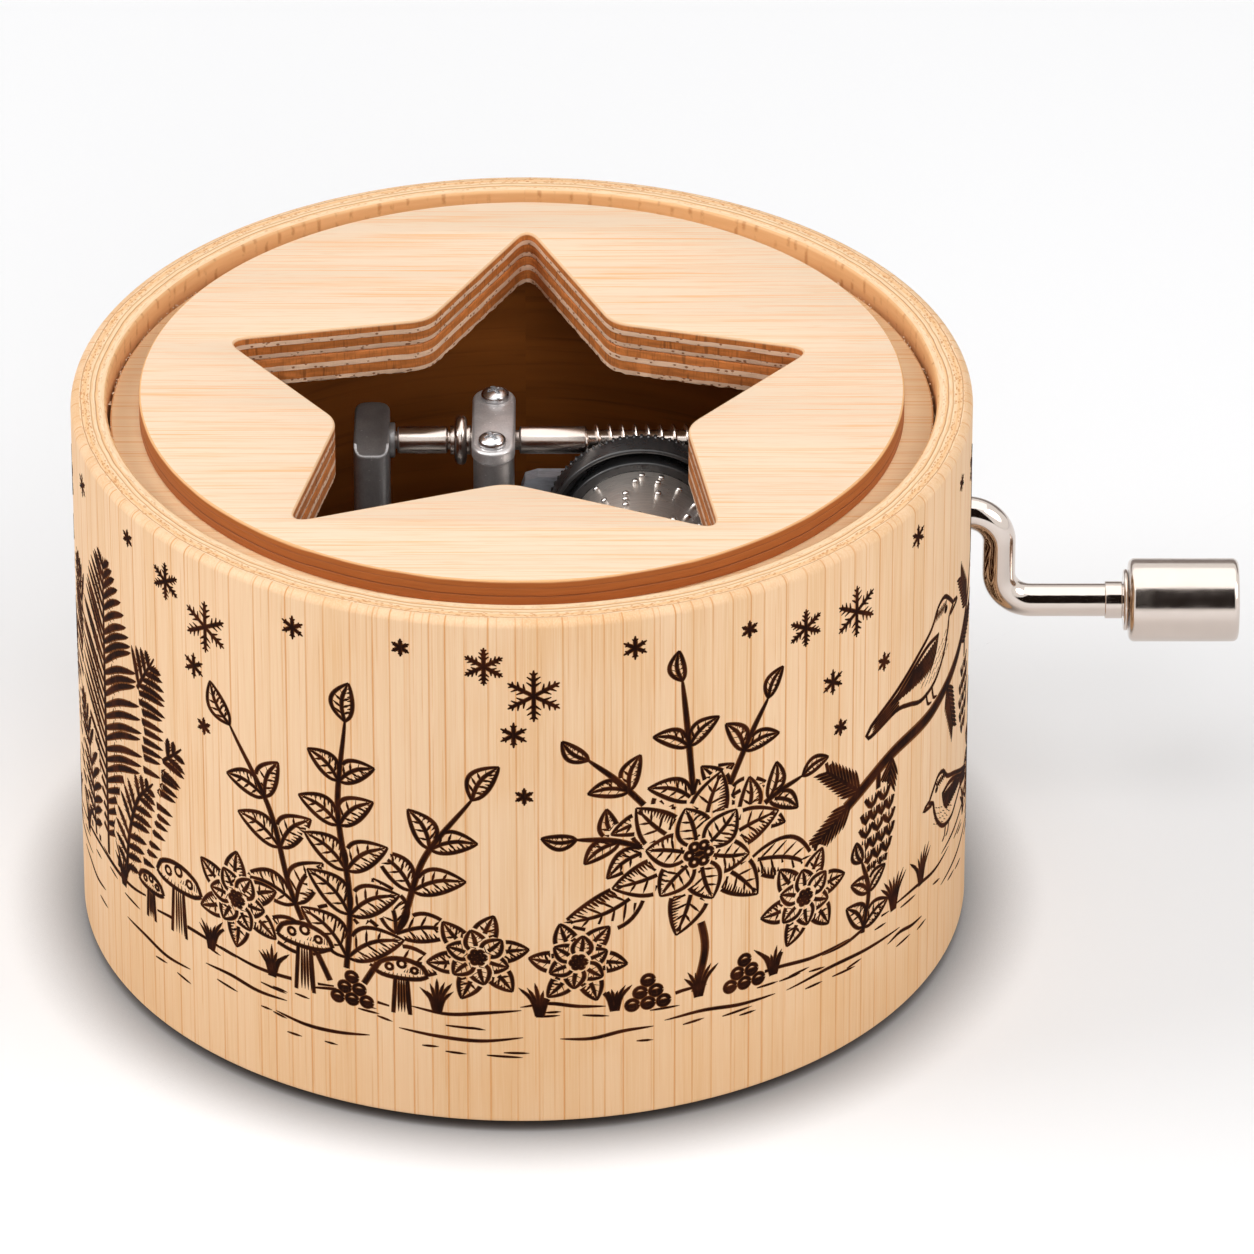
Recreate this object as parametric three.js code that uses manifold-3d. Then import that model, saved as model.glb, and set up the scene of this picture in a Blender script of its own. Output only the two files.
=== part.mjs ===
// Hand crank music box in a round wooden drum with a star window in its lid.
// Millimetres, +Z up. The origin is the middle of the underside, the crank leaves along +X
// and the front faces -Y.

import * as THREE from "three";
import { mergeVertices } from "three/addons/utils/BufferGeometryUtils.js";
import Module from "manifold-3d";

// Drum
const drumRadius = 40;
const wallHeight = 51.2;
const wallThickness = 3.2;
const rimRounding = 0.7;
const rimInnerRounding = 0.3;
const footRounding = 0.4;
const linerThickness = 2;
const baseThickness = 6;
const padThickness = 1;
const padInset = 4;
const glueGap = 0.1;
const linerGap = 0.2;

// Lid
const lidGrooveWidth = 2.9;
const lidTopThickness = 2.5;
const lidFlangeThickness = 2.8;
const lidFlangeGap = 0.3;
const lidProud = 0.5;
const starTipInset = 5;
const starTipRounding = 2.2;
const starNotchRounding = 1.7;
const starOffsetX = -0.63;
const starOffsetY = -1.07;
const starTurn = THREE.MathUtils.degToRad(-1.8);

// Half of the star's corners from its rear tip to its front notch, the other half mirrors them.
// Each has a share of the tip's radius and a share of the half turn.
const starCornerShares = [
  [1.04, 0],
  [0.525, 0.182],
  [0.955, 0.399],
  [0.564, 0.61],
  [1.035, 0.785],
  [0.55, 1],
];

// Clearances that fits share, and the overrun of every cut and join
const seatGap = 0.05;
const runGap = 0.06;
const overrun = 0.4;

// Worm shaft, with stations measured along +X from the drum's axis
const shaftBelowRim = 13.1;
const shaftY = 14;
const shaftRadius = 1.2;
const shaftJournalRadius = 0.9;
const shaftPivotRadius = 0.8;
const shaftChamfer = 0.15;
const shaftPivotEnd = -14.7;
const shaftLeftStart = -11.4;
const shaftLeftEnd = -6.85;
const shaftRightStart = -0.4;
const shaftRightEnd = 5;
const collarX = -5.7;
const collarRadius = 2.3;
const collarWidth = 1.15;
const collarHubRadius = 1.35;
const collarHubLength = 0.35;

// Worm and drive gear
const wormPitch = 1.15;
const wormTurns = 9;
const wormCoreRadius = 0.85;
const wormCrestRadius = 1.5;
const wormRidgeWidth = 0.34;
const wormCrestWidth = 0.24;
const wormShoulder = 0.45;
const gearX = 10.66;
const gearTeeth = 32;
const gearRimWidth = 2.5;
const gearAddendum = 0.33;
const gearToothDepth = 0.62;
const gearRootWidth = 0.52;
const gearTipWidth = 0.34;
const gearMeshGap = 0.15;
const gearNeckRadius = 5.2;
const gearBandGap = 0.1;
const gearBandRadius = 8.8;
const gearBandWidth = 2.8;
const gearBandThickness = 0.6;
const gearGrooveDepth = 1.6;
const gearRingRadius = 7.4;
const gearRingProud = 0.14;
const gearSpigotLength = 1.4;
const gearHubRadius = 2.6;
const gearHubLength = 0.8;

// Pinned cylinder and its arbor
const cylinderRadius = 6.6;
const cylinderWall = 0.8;
const cylinderLength = 19;
const cylinderCapThickness = 1.6;
const arborRadius = 1.2;
const arborJournalRadius = 0.9;
const arborEndLength = 0.4;
const pinRadius = 0.24;
const pinHeight = 0.42;
const pinRoot = 0.3;
const melodySteps = 36;
const melodyStrides = [7, 11];

// Comb
const combTeeth = 18;
const combFirstTooth = 1.1;
const combLastTooth = 1.35;
const combTipGap = 0.15;
const combToothThickness = 0.6;
const combTipWidth = 0.42;
const combRootWidth = 0.74;
const combLongTooth = 9.6;
const combShortTooth = 6.6;
const combHeelWidth = 5.6;
const combHeelThickness = 1.6;
const combMargin = 0.2;
const combBelowAxis = 0.3;
const combScrewShare = 0.56;
const weightLength = 2.2;
const weightDepth = 1.5;
const weightInset = 1.5;
const weightedTeeth = 6;

// Bedplate and the wooden riser under it
const bedplateLeft = -19.5;
const bedplateRight = 26.5;
const bedplateFront = -16;
const bedplateBack = 21.5;
const bedplateThickness = 2.2;
const bedplateRounding = 4;
const bedplateEdge = 0.3;
const bedplateBelowAxis = 11.86;
const combSeatMargin = 0.3;
const riserInset = 1.5;
const riserRounding = 3;
const bedplateScrewInset = 2.3;

// End post on the left, and the bearing post with its cap
const endPostX = -13.7;
const endPostWidth = 3.2;
const endPostDepth = 8.2;
const endPostAboveShaft = 1.7;
const endPostRounding = 1.3;
const endPostBevel = 1.1;
const endPostBossRadius = 1.6;
const endPostBossLength = 0.55;
const bearingPostX = -2.7;
const bearingPostWidth = 3.9;
const bearingPostDepth = 12.2;
const bearingPostOffset = -0.4;
const bearingPostInset = 0.15;
const bearingBlockBelow = 3.2;
const bearingStemFront = 3.1;
const bearingStemRounding = 1.2;
const bearingCapThickness = 1.15;
const bearingCapEdge = 0.2;
const bearingCapGap = 0.15;
const capScrewInset = 1.95;
const capScrewTurn = 0.2;
const spigotRadius = 1.2;
const spigotShort = 0.4;

// Brackets of the arbor
const bracketThickness = 1.6;
const bracketRounding = 1.5;
const bracketFootLength = 3.4;
const bracketFootThickness = 1.4;
const bracketScrewInset = 1.6;
const rearBracketGap = 0.25;
const rearBracketLeft = 10.95;
const rearBracketRight = 9;
const rearBracketAboveAxis = 1.94;
const rearBracketScrewSpacing = 14;
const frontBracketGap = 0.5;
const frontBracketHalfWidth = 6;
const frontBracketAboveAxis = 3.4;
const frontBracketScrewSpacing = 8.4;

// Transfer gears and their bracket, between the worm shaft and the lower crank spindle
const transferTeeth = 16;
const transferModule = 0.475;
const pressureAngle = THREE.MathUtils.degToRad(20);
const transferWidth = 3;
const transferAddendum = 0.42;
const transferDedendum = 0.57;
const transferBacklash = 0.16;
const transferHubRadius = 2.2;
const transferHubLength = 0.4;
const transferX = 23.4;
const transferBracketX = 20.7;
const transferBracketThickness = 1.9;
const transferBracketWidth = 8.6;
const transferBracketAboveShaft = 2.4;
const transferFootLength = 3.6;
const transferFootWidth = 6.4;

// Crank, its bush in the wall, and the knob
const rodRadius = 1.5;
const crankBendRadius = 3;
const crankBendGap = 0.1;
const crankDrop = 9.2;
const handleStraight = 6.7;
const spindleInset = 0.2;
const spindleJournalRadius = 1;
const spindleShoulder = 0.3;
const spindleCollarGap = 1.1;
const spindleCollarRadius = 2.7;
const spindleCollarWidth = 1.4;
const bushRadius = 2.5;
const bushProud = 0.74;
const bushRecess = 1.17;
const sleeveLength = 1.57;
const sleeveRadius = 1.65;
const washerRadius = 2.8;
const washerThickness = 0.42;
const knobGap = 0.11;
const knobLength = 10;
const knobRadius = 3.8;
const knobRounding = 0.55;
const knobPinRadius = 1;
const knobPinLength = 7.5;
const knobBoreExtra = 0.6;

// Screws
const smallHeadRadius = 1.28;
const smallHeadHeight = 0.85;
const smallShankRadius = 0.8;
const smallShankLength = 4.6;
const frameHeadRadius = 1.5;
const frameHeadHeight = 0.9;
const frameShankRadius = 0.9;
const bracketShankLength = 3.4;
const bedplateScrewShare = 0.353;
const woodHeadRadius = 2.2;
const woodShankRadius = 1.1;
const woodScrewShare = 0.558;
const woodScrewSpacing = 20;
const recessWidth = 0.36;
const recessDepth = 0.45;
const recessShare = 0.62;
const panProfileShares = [[0, 1], [0.66, 0.88], [1, 0.35], [1, 0]];
const holeGap = 0.06;
const holeExtra = 0.5;

// Facet counts
const drumSides = 60;
const largeSides = 32;
const mediumSides = 16;
const shaftSides = 12;
const screwSides = 8;
const pinSides = 4;
const cornerSteps = 2;
const ridgeSteps = 12;
const rodSteps = 28;
const rodSides = 12;

// Heights and places that follow from the sizes above
const wallBottom = padThickness;
const rimTop = wallBottom + wallHeight;
const innerRadius = drumRadius - wallThickness;
const linerRadius = innerRadius - linerGap;
const lidTopRadius = innerRadius - lidGrooveWidth;
const starTipRadius = lidTopRadius - starTipInset;
const lidTop = rimTop + lidProud;
const lidFlangeTop = lidTop - lidTopThickness;
const lidBottom = lidFlangeTop - lidFlangeThickness;
const baseTop = wallBottom + baseThickness;
const shaftZ = rimTop - shaftBelowRim;
const gearPitchRadius = gearTeeth * wormPitch / (2 * Math.PI);
const gearOuterRadius = gearPitchRadius + gearAddendum;
const arborZ = shaftZ - wormCoreRadius - gearMeshGap - gearOuterRadius;
const gearBandStart = wormCrestRadius + gearBandGap;
const gearBandFront = gearBandStart + gearBandWidth;
const gearFront = gearBandFront + gearRingProud;
const cylinderY = shaftY - gearFront - seatGap;
const cylinderFrontY = cylinderY - cylinderLength;
const cylinderBore = cylinderRadius - cylinderWall;
const bedplateTop = arborZ - bedplateBelowAxis;
const bedplateBottom = bedplateTop - bedplateThickness;
const riserBottom = baseTop + seatGap;
const riserTop = bedplateBottom - seatGap;
const riserHeight = riserTop - riserBottom;
const bedplateShankLength = bedplateThickness + bedplateScrewShare * riserHeight;
const woodShankLength = baseThickness + woodScrewShare * riserHeight;
const rearBracketFront = shaftY + gearRimWidth / 2 + gearHubLength + rearBracketGap;
const frontBracketBack = cylinderFrontY - frontBracketGap;
const combPitch = (cylinderLength - combFirstTooth - combLastTooth) / (combTeeth - 1);
const combTipX = gearX - cylinderRadius - pinHeight - combTipGap;
const combHeelFront = combTipX - combLongTooth;
const combUnder = arborZ - combBelowAxis;
const combLength = (combTeeth - 1) * combPitch + combRootWidth + 2 * combMargin;
const combRearY = cylinderY - combFirstTooth + combRootWidth / 2 + combMargin;
const transferPitchRadius = transferTeeth * transferModule / 2;
const spindleZ = shaftZ - 2 * transferPitchRadius;
const knobZ = spindleZ - crankDrop;
const bushStart = faceX(linerRadius - linerThickness) - bushProud;
const bushEnd = faceX(drumRadius) - bushRecess;
const spindleCollarX = bushStart - spindleCollarGap - spindleCollarWidth;
const spindleStepX = spindleCollarX - spindleShoulder;
const spindleInnerEnd = transferBracketX + spindleInset;
const crankBendX = drumRadius + crankBendGap;
const sleeveStart = crankBendX + 2 * crankBendRadius + handleStraight;
const washerStart = sleeveStart + sleeveLength + seatGap;
const knobStart = washerStart + washerThickness + knobGap;
const bearingPostTop = shaftZ + shaftJournalRadius + bearingCapGap;
const capScrewSpacing = bearingPostDepth - 2 * capScrewInset;

// Finishes
const paleWood = new THREE.MeshStandardMaterial({ color: 0xefcba0, roughness: 0.6, metalness: 0 });
const lidWood = new THREE.MeshStandardMaterial({ color: 0xf8dcb6, roughness: 0.6, metalness: 0 });
const stainedWood = new THREE.MeshStandardMaterial({ color: 0x331a08, roughness: 0.7, metalness: 0 });
const felt = new THREE.MeshStandardMaterial({ color: 0x2a2622, roughness: 0.95, metalness: 0 });
const castMetal = new THREE.MeshStandardMaterial({ color: 0x5c5d62, roughness: 0.5, metalness: 0.8 });
const bracketSteel = new THREE.MeshStandardMaterial({ color: 0x7a828c, roughness: 0.45, metalness: 0.9 });
const nickel = new THREE.MeshStandardMaterial({ color: 0xd6cdc4, roughness: 0.2, metalness: 1 });
const screwSteel = new THREE.MeshStandardMaterial({ color: 0xb8b9bc, roughness: 0.3, metalness: 1 });
const combSteel = new THREE.MeshStandardMaterial({ color: 0xaaa9a6, roughness: 0.35, metalness: 1 });
const brass = new THREE.MeshStandardMaterial({ color: 0xb08d4c, roughness: 0.35, metalness: 1 });
const cylinderMetal = new THREE.MeshStandardMaterial({ color: 0x8d7f70, roughness: 0.35, metalness: 1 });
const blackPlastic = new THREE.MeshStandardMaterial({ color: 0x1c1c1e, roughness: 0.4, metalness: 0 });

const wasm = await Module();
wasm.setup();

// Where the spindle's line, which lies behind the drum's axis, crosses a round face of the drum
function faceX(radius) {
  return Math.sqrt(radius ** 2 - shaftY ** 2);
}

// A closed geometry as a solid that can be joined and cut
function solidFrom(geometry) {
  const bare = geometry.clone();
  bare.deleteAttribute("normal");
  bare.deleteAttribute("uv");
  const merged = mergeVertices(bare);
  const places = merged.attributes.position;
  const corners = merged.index.array;
  const kept = [];
  let volume = 0;
  for (let i = 0; i < corners.length; i += 3) {
    const [a, b, c] = [corners[i], corners[i + 1], corners[i + 2]];
    if (a === b || b === c || c === a) {
      continue;
    }
    const first = new THREE.Vector3().fromBufferAttribute(places, a);
    const second = new THREE.Vector3().fromBufferAttribute(places, b);
    const third = new THREE.Vector3().fromBufferAttribute(places, c);
    volume += first.dot(second.cross(third));
    kept.push(a, b, c);
  }
  const facingOut = volume > 0 ? kept : kept.reverse();
  return new wasm.Manifold(new wasm.Mesh({
    numProp: 3,
    vertProperties: new Float32Array(places.array),
    triVerts: new Uint32Array(facingOut),
  }));
}

function geometryFrom(solid) {
  const mesh = solid.getMesh();
  const geometry = new THREE.BufferGeometry();
  geometry.setAttribute("position", new THREE.BufferAttribute(mesh.vertProperties, mesh.numProp));
  geometry.setIndex(new THREE.BufferAttribute(mesh.triVerts, 1));
  geometry.computeVertexNormals();
  return geometry;
}

function joined(base, ...additions) {
  return geometryFrom(additions.reduce((whole, next) => whole.add(solidFrom(next)), solidFrom(base)));
}

function cutBy(base, ...cutters) {
  return geometryFrom(cutters.reduce((rest, next) => rest.subtract(solidFrom(next)), solidFrom(base)));
}

// Shapes around or along +Z, and turns that lay them along another axis
function turned(profile, sides) {
  const points = profile.map(([radius, height]) => new THREE.Vector2(radius, height));
  const geometry = new THREE.LatheGeometry(points, sides);
  return geometryFrom(solidFrom(geometry.rotateX(Math.PI / 2)));
}

function rod(radius, low, high, sides) {
  return turned([[0, low], [radius, low], [radius, high], [0, high]], sides);
}

function ring(outer, inner, low, high, sides) {
  return turned([[inner, low], [outer, low], [outer, high], [inner, high], [inner, low]], sides);
}

function slab(width, depth, height) {
  return new THREE.BoxGeometry(width, depth, height).translate(0, 0, height / 2);
}

function plate(outline, thickness, ...holes) {
  const shape = new THREE.Shape(outline);
  shape.holes = holes.map((hole) => new THREE.Path(hole));
  return new THREE.ExtrudeGeometry(shape, { depth: thickness, bevelEnabled: false });
}

function bevelledPlate(outline, thickness, bevel) {
  const geometry = new THREE.ExtrudeGeometry(new THREE.Shape(outline), {
    depth: thickness - 2 * bevel,
    bevelThickness: bevel,
    bevelSize: bevel,
    bevelOffset: -bevel,
    bevelSegments: 1,
  });
  return geometry.translate(0, 0, bevel);
}

function alongX(geometry) {
  return geometry.rotateY(Math.PI / 2);
}

function towardsFront(geometry) {
  return geometry.rotateX(Math.PI / 2);
}

function circleOutline(radius, sides) {
  const outline = [];
  for (let side = 0; side < sides; side++) {
    const angle = 2 * Math.PI * side / sides;
    outline.push(new THREE.Vector2(radius * Math.cos(angle), radius * Math.sin(angle)));
  }
  return outline;
}

// An outline with each corner replaced by a bend that starts its rounding away from the corner
function roundedOutline(corners, roundings) {
  const outline = [];
  corners.forEach((corner, index) => {
    const before = corners[(index + corners.length - 1) % corners.length];
    const after = corners[(index + 1) % corners.length];
    const rounding = roundings[index % roundings.length];
    const start = before.clone().sub(corner).setLength(rounding).add(corner);
    const end = after.clone().sub(corner).setLength(rounding).add(corner);
    outline.push(...new THREE.QuadraticBezierCurve(start, corner, end).getPoints(cornerSteps));
  });
  return outline;
}

function boxCorners(left, right, low, high) {
  return [
    new THREE.Vector2(left, low),
    new THREE.Vector2(right, low),
    new THREE.Vector2(right, high),
    new THREE.Vector2(left, high),
  ];
}

// A bar with half round ends, long along Y
function obroundOutline(width, length, sides) {
  const radius = width / 2;
  const reach = length / 2 - radius;
  const outline = [];
  for (const end of [1, -1]) {
    for (let step = 0; step <= sides; step++) {
      const angle = Math.PI * step / sides;
      const x = end * radius * Math.cos(angle);
      const y = end * (reach + radius * Math.sin(angle));
      outline.push(new THREE.Vector2(x, y));
    }
  }
  return outline;
}

function piece(name, geometry, material, x, y, z) {
  const mesh = new THREE.Mesh(geometry, material);
  mesh.name = name;
  mesh.position.set(x, y, z);
  return mesh;
}

// Screws, with the underside of the head at zero and the head above it
function panScrew(headRadius, headHeight, shankRadius, shankLength, crossed) {
  const head = panProfileShares.map(([across, up]) => [across * headRadius, up * headHeight]);
  const profile = [...head, [shankRadius, 0], [shankRadius, -shankLength], [0, -shankLength]];
  const reach = 2 * recessShare * headRadius;
  const low = headHeight - recessDepth;
  const slots = [slab(reach, recessWidth, recessDepth + overrun).translate(0, 0, low)];
  if (crossed) {
    slots.push(slab(recessWidth, reach, recessDepth + overrun).translate(0, 0, low));
  }
  return cutBy(turned(profile, screwSides), ...slots);
}

function smallScrew() {
  return panScrew(smallHeadRadius, smallHeadHeight, smallShankRadius, smallShankLength, true);
}

function frameScrew(shankLength) {
  return panScrew(frameHeadRadius, frameHeadHeight, frameShankRadius, shankLength, false);
}

// The hole that a screw's shank takes, from a little above a face down past the shank's end
function screwHole(shankRadius, shankLength) {
  return rod(shankRadius + holeGap, -shankLength - holeExtra, overrun, screwSides);
}

// Drum pieces
function outerWall() {
  const inner = drumRadius - wallThickness;
  const topCentre = wallHeight - rimRounding;
  const profile = [
    [inner, 0],
    [drumRadius - footRounding, 0],
    [drumRadius, footRounding],
    [drumRadius, topCentre],
  ];
  for (let step = 1; step <= cornerSteps; step++) {
    const angle = Math.PI / 2 * step / cornerSteps;
    const across = drumRadius - rimRounding + rimRounding * Math.cos(angle);
    profile.push([across, topCentre + rimRounding * Math.sin(angle)]);
  }
  profile.push([inner + rimInnerRounding, wallHeight], [inner, wallHeight - rimInnerRounding], [inner, 0]);
  return cutBy(turned(profile, drumSides), spindleHole(wallBottom));
}

function spindleHole(originZ) {
  const hole = alongX(rod(bushRadius + glueGap, bushStart, drumRadius + overrun, mediumSides));
  return hole.translate(0, shaftY, spindleZ - originZ);
}

function innerLiner() {
  const height = lidBottom - glueGap - baseTop - glueGap;
  const body = ring(linerRadius, linerRadius - linerThickness, 0, height, drumSides);
  return cutBy(body, spindleHole(baseTop + glueGap));
}

function starOutline() {
  const mirrored = starCornerShares.slice(1, -1).reverse().map(([radius, turn]) => [radius, -turn]);
  const corners = [...starCornerShares, ...mirrored].map(([radiusShare, turnShare]) => {
    const angle = Math.PI / 2 + starTurn + Math.PI * turnShare;
    const radius = radiusShare * starTipRadius;
    const x = starOffsetX + radius * Math.cos(angle);
    return new THREE.Vector2(x, starOffsetY + radius * Math.sin(angle));
  });
  return roundedOutline(corners, [starTipRounding, starNotchRounding]);
}

function lidDisc(radius, thickness) {
  return plate(circleOutline(radius, drumSides), thickness, starOutline());
}

function baseBoard() {
  const board = rod(innerRadius - glueGap, 0, baseThickness, drumSides);
  const holes = woodScrewPlaces().map(([x, y]) => {
    const bore = rod(woodShankRadius + holeGap, -overrun, baseThickness + overrun, screwSides);
    const sunk = turned([
      [0, -overrun],
      [woodHeadRadius + overrun + holeGap, -overrun],
      [woodShankRadius + holeGap, woodHeadRadius - woodShankRadius],
      [0, woodHeadRadius - woodShankRadius],
    ], screwSides);
    return joined(bore, sunk).translate(x, y, 0);
  });
  return cutBy(board, ...holes);
}

function woodScrewPlaces() {
  const middleX = (bedplateLeft + bedplateRight) / 2;
  return [-1, 1].map((side) => [middleX + side * woodScrewSpacing / 2, 0]);
}

function woodScrew() {
  const profile = [
    [0, 0],
    [woodHeadRadius, 0],
    [woodShankRadius, woodHeadRadius - woodShankRadius],
    [woodShankRadius, woodShankLength - woodShankRadius],
    [0, woodShankLength],
  ];
  const reach = 2 * recessShare * woodHeadRadius;
  const slot = slab(reach, recessWidth, recessDepth + overrun).translate(0, 0, -overrun);
  return cutBy(turned(profile, screwSides), slot);
}

function riserBlock() {
  const corners = boxCorners(
    bedplateLeft + riserInset,
    bedplateRight - riserInset,
    bedplateFront + riserInset,
    bedplateBack - riserInset,
  );
  const block = plate(roundedOutline(corners, [riserRounding]), riserHeight);
  const frameHoles = bedplateScrewPlaces().map(([x, y]) => {
    const sunk = bedplateShankLength - bedplateThickness;
    return screwHole(frameShankRadius, sunk).translate(x, y, riserHeight);
  });
  const woodHoles = woodScrewPlaces().map(([x, y]) => {
    const reach = woodShankLength - baseThickness + holeExtra;
    return rod(woodShankRadius + holeGap, -overrun, reach, screwSides).translate(x, y, 0);
  });
  const spigotHoles = spigotPlaces().map(([x, y]) => {
    const hole = rod(spigotRadius + holeGap, riserHeight - holeExtra, riserHeight + overrun, screwSides);
    return hole.translate(x, y, 0);
  });
  return cutBy(block, ...frameHoles, ...woodHoles, ...spigotHoles);
}

// Bedplate, with the seat that carries the comb
function bedplateScrewPlaces() {
  const inset = bedplateScrewInset;
  return [
    [bedplateLeft + inset, bedplateFront + inset],
    [bedplateRight - inset, bedplateFront + inset],
    [bedplateRight - inset, bedplateBack - inset],
    [bedplateLeft + inset, bedplateBack - inset],
  ];
}

function spigotPlaces() {
  return [[endPostX, shaftY], [bearingPostX, bearingStemCentre()]];
}

function bearingStemCentre() {
  const front = shaftY - bearingStemFront;
  const back = shaftY + bearingPostOffset + bearingPostDepth / 2 - bearingPostInset;
  return (front + back) / 2;
}

function combScrewPlaces() {
  const middle = combRearY - combLength / 2;
  const x = combHeelFront - combHeelWidth / 2;
  return [1, -1].map((side) => [x, middle + side * combScrewShare * combLength / 2]);
}

function rearBracketScrewPlaces() {
  const y = rearBracketFront + bracketThickness + bracketFootLength - bracketScrewInset;
  return [-1, 1].map((side) => [gearX + side * rearBracketScrewSpacing / 2, y]);
}

function frontBracketScrewPlaces() {
  const y = frontBracketBack - bracketThickness - bracketFootLength + bracketScrewInset;
  return [-1, 1].map((side) => [gearX + side * frontBracketScrewSpacing / 2, y]);
}

function transferScrewPlace() {
  return [transferBracketX + transferBracketThickness + transferFootLength - bracketScrewInset, shaftY];
}

function bedplate() {
  const corners = boxCorners(bedplateLeft, bedplateRight, bedplateFront, bedplateBack);
  const base = bevelledPlate(roundedOutline(corners, [bedplateRounding]), bedplateThickness, bedplateEdge);
  const seatCorners = boxCorners(
    combHeelFront - combHeelWidth - combSeatMargin,
    combHeelFront - combSeatMargin,
    combRearY - combLength - combSeatMargin,
    combRearY,
  );
  const seatHeight = combUnder - seatGap - bedplateTop;
  const seat = plate(seatCorners, seatHeight + overrun).translate(0, 0, bedplateThickness - overrun);
  const posts = spigotPlaces().map(([x, y]) => {
    return rod(spigotRadius + holeGap, -overrun, bedplateThickness + overrun, screwSides).translate(x, y, 0);
  });
  const floorScrews = [
    ...bedplateScrewPlaces(),
    ...rearBracketScrewPlaces(),
    ...frontBracketScrewPlaces(),
    transferScrewPlace(),
  ].map(([x, y]) => {
    const hole = rod(frameShankRadius + holeGap, -overrun, bedplateThickness + overrun, screwSides);
    return hole.translate(x, y, 0);
  });
  const combScrews = combScrewPlaces().map(([x, y]) => {
    const hole = screwHole(smallShankRadius, smallShankLength - combHeelThickness);
    return hole.translate(x, y, bedplateThickness + seatHeight);
  });
  return cutBy(joined(base, seat), ...posts, ...floorScrews, ...combScrews);
}

// Posts, drawn with their foot at zero and the shaft's height above it
function endPost() {
  const height = shaftZ - bedplateTop - seatGap;
  const top = height + endPostAboveShaft;
  const halfWidth = endPostWidth / 2;
  const halfDepth = endPostDepth / 2;
  const corners = boxCorners(-halfWidth, halfWidth, -halfDepth, halfDepth);
  const body = plate(roundedOutline(corners, [endPostRounding]), top);
  const spigot = rod(spigotRadius, spigotShort - bedplateThickness, overrun, screwSides);
  const boss = alongX(rod(endPostBossRadius, 0, halfWidth + endPostBossLength, mediumSides));
  const bore = alongX(rod(
    shaftPivotRadius + runGap,
    shaftPivotEnd - endPostX - runGap - seatGap,
    halfWidth + endPostBossLength + overrun,
    shaftSides,
  ));
  const bevelReach = 2 * endPostBevel;
  const bevel = slab(endPostWidth + bevelReach, bevelReach, bevelReach)
    .translate(0, 0, -endPostBevel)
    .rotateX(Math.PI / 4)
    .translate(0, -halfDepth, top);
  const raised = [boss, bore].map((shape) => shape.translate(0, 0, height));
  return cutBy(joined(body, spigot, raised[0]), raised[1], bevel);
}

function bearingPost() {
  const shaftHeight = shaftZ - bedplateTop - seatGap;
  const top = bearingPostTop - bedplateTop - seatGap;
  const blockLow = shaftHeight - bearingBlockBelow;
  const width = bearingPostWidth - 2 * bearingPostInset;
  const depth = bearingPostDepth - 2 * bearingPostInset;
  const centre = bearingStemCentre() - shaftY;
  const block = plate(obroundOutline(width, depth, mediumSides / 2), top - blockLow)
    .translate(0, bearingPostOffset - centre, blockLow);
  const stemFront = -bearingStemFront - centre;
  const stemBack = bearingPostOffset + depth / 2 - centre;
  const stemCorners = boxCorners(-width / 2, width / 2, stemFront, stemBack);
  const stem = plate(roundedOutline(stemCorners, [bearingStemRounding]), blockLow + overrun);
  const spigot = rod(spigotRadius, spigotShort - bedplateThickness, overrun, screwSides);
  const bore = alongX(rod(shaftJournalRadius + runGap, -bearingPostWidth, bearingPostWidth, shaftSides))
    .translate(0, -centre, shaftHeight);
  const slotWidth = 2 * (shaftJournalRadius + runGap);
  const slot = slab(2 * bearingPostWidth, slotWidth, top).translate(0, -centre, shaftHeight);
  const holes = capScrewPlaces().map(([x, y]) => {
    const hole = screwHole(smallShankRadius, smallShankLength - bearingCapThickness);
    return hole.translate(x, y + bearingPostOffset - centre, top);
  });
  return cutBy(joined(block, stem, spigot), bore, slot, ...holes);
}

// The cap screws stand a little askew of the cap's long middle line, as fitted
function capScrewPlaces() {
  return [1, -1].map((side) => [side * capScrewTurn / 2, side * capScrewSpacing / 2]);
}

function bearingCap() {
  const outline = obroundOutline(bearingPostWidth, bearingPostDepth, mediumSides / 2);
  const body = bevelledPlate(outline, bearingCapThickness, bearingCapEdge);
  const holes = capScrewPlaces().map(([x, y]) => {
    const hole = rod(smallShankRadius + holeGap, -overrun, bearingCapThickness + overrun, screwSides);
    return hole.translate(x, y, 0);
  });
  return cutBy(body, ...holes);
}

// Angle brackets, drawn in the front view with the arbor's axis at zero
function arborBracket(left, right, above, screwSpacing, footSide) {
  const below = arborZ - bedplateTop - seatGap;
  const corners = boxCorners(-left, right, -below, above);
  const outline = roundedOutline(corners, [seatGap, seatGap, bracketRounding, bracketRounding]);
  const upright = towardsFront(plate(outline, bracketThickness));
  const footDepth = bracketFootLength + bracketThickness / 2;
  const footY = footSide > 0 ? -bracketThickness / 2 : -bracketThickness / 2 - footDepth;
  const foot = slab(left + right, footDepth, bracketFootThickness)
    .translate((right - left) / 2, footY + footDepth / 2, -below);
  const boreEnd = bracketThickness + overrun;
  const bore = towardsFront(rod(arborJournalRadius + runGap, -overrun, boreEnd, shaftSides));
  const screwY = footSide > 0 ? bracketFootLength - bracketScrewInset
    : -bracketThickness - bracketFootLength + bracketScrewInset;
  const holes = [-1, 1].map((side) => {
    const hole = rod(frameShankRadius + holeGap, -overrun, bracketFootThickness + overrun, screwSides);
    return hole.translate(side * screwSpacing / 2, screwY, -below);
  });
  return cutBy(joined(upright, foot), bore, ...holes);
}

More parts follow.
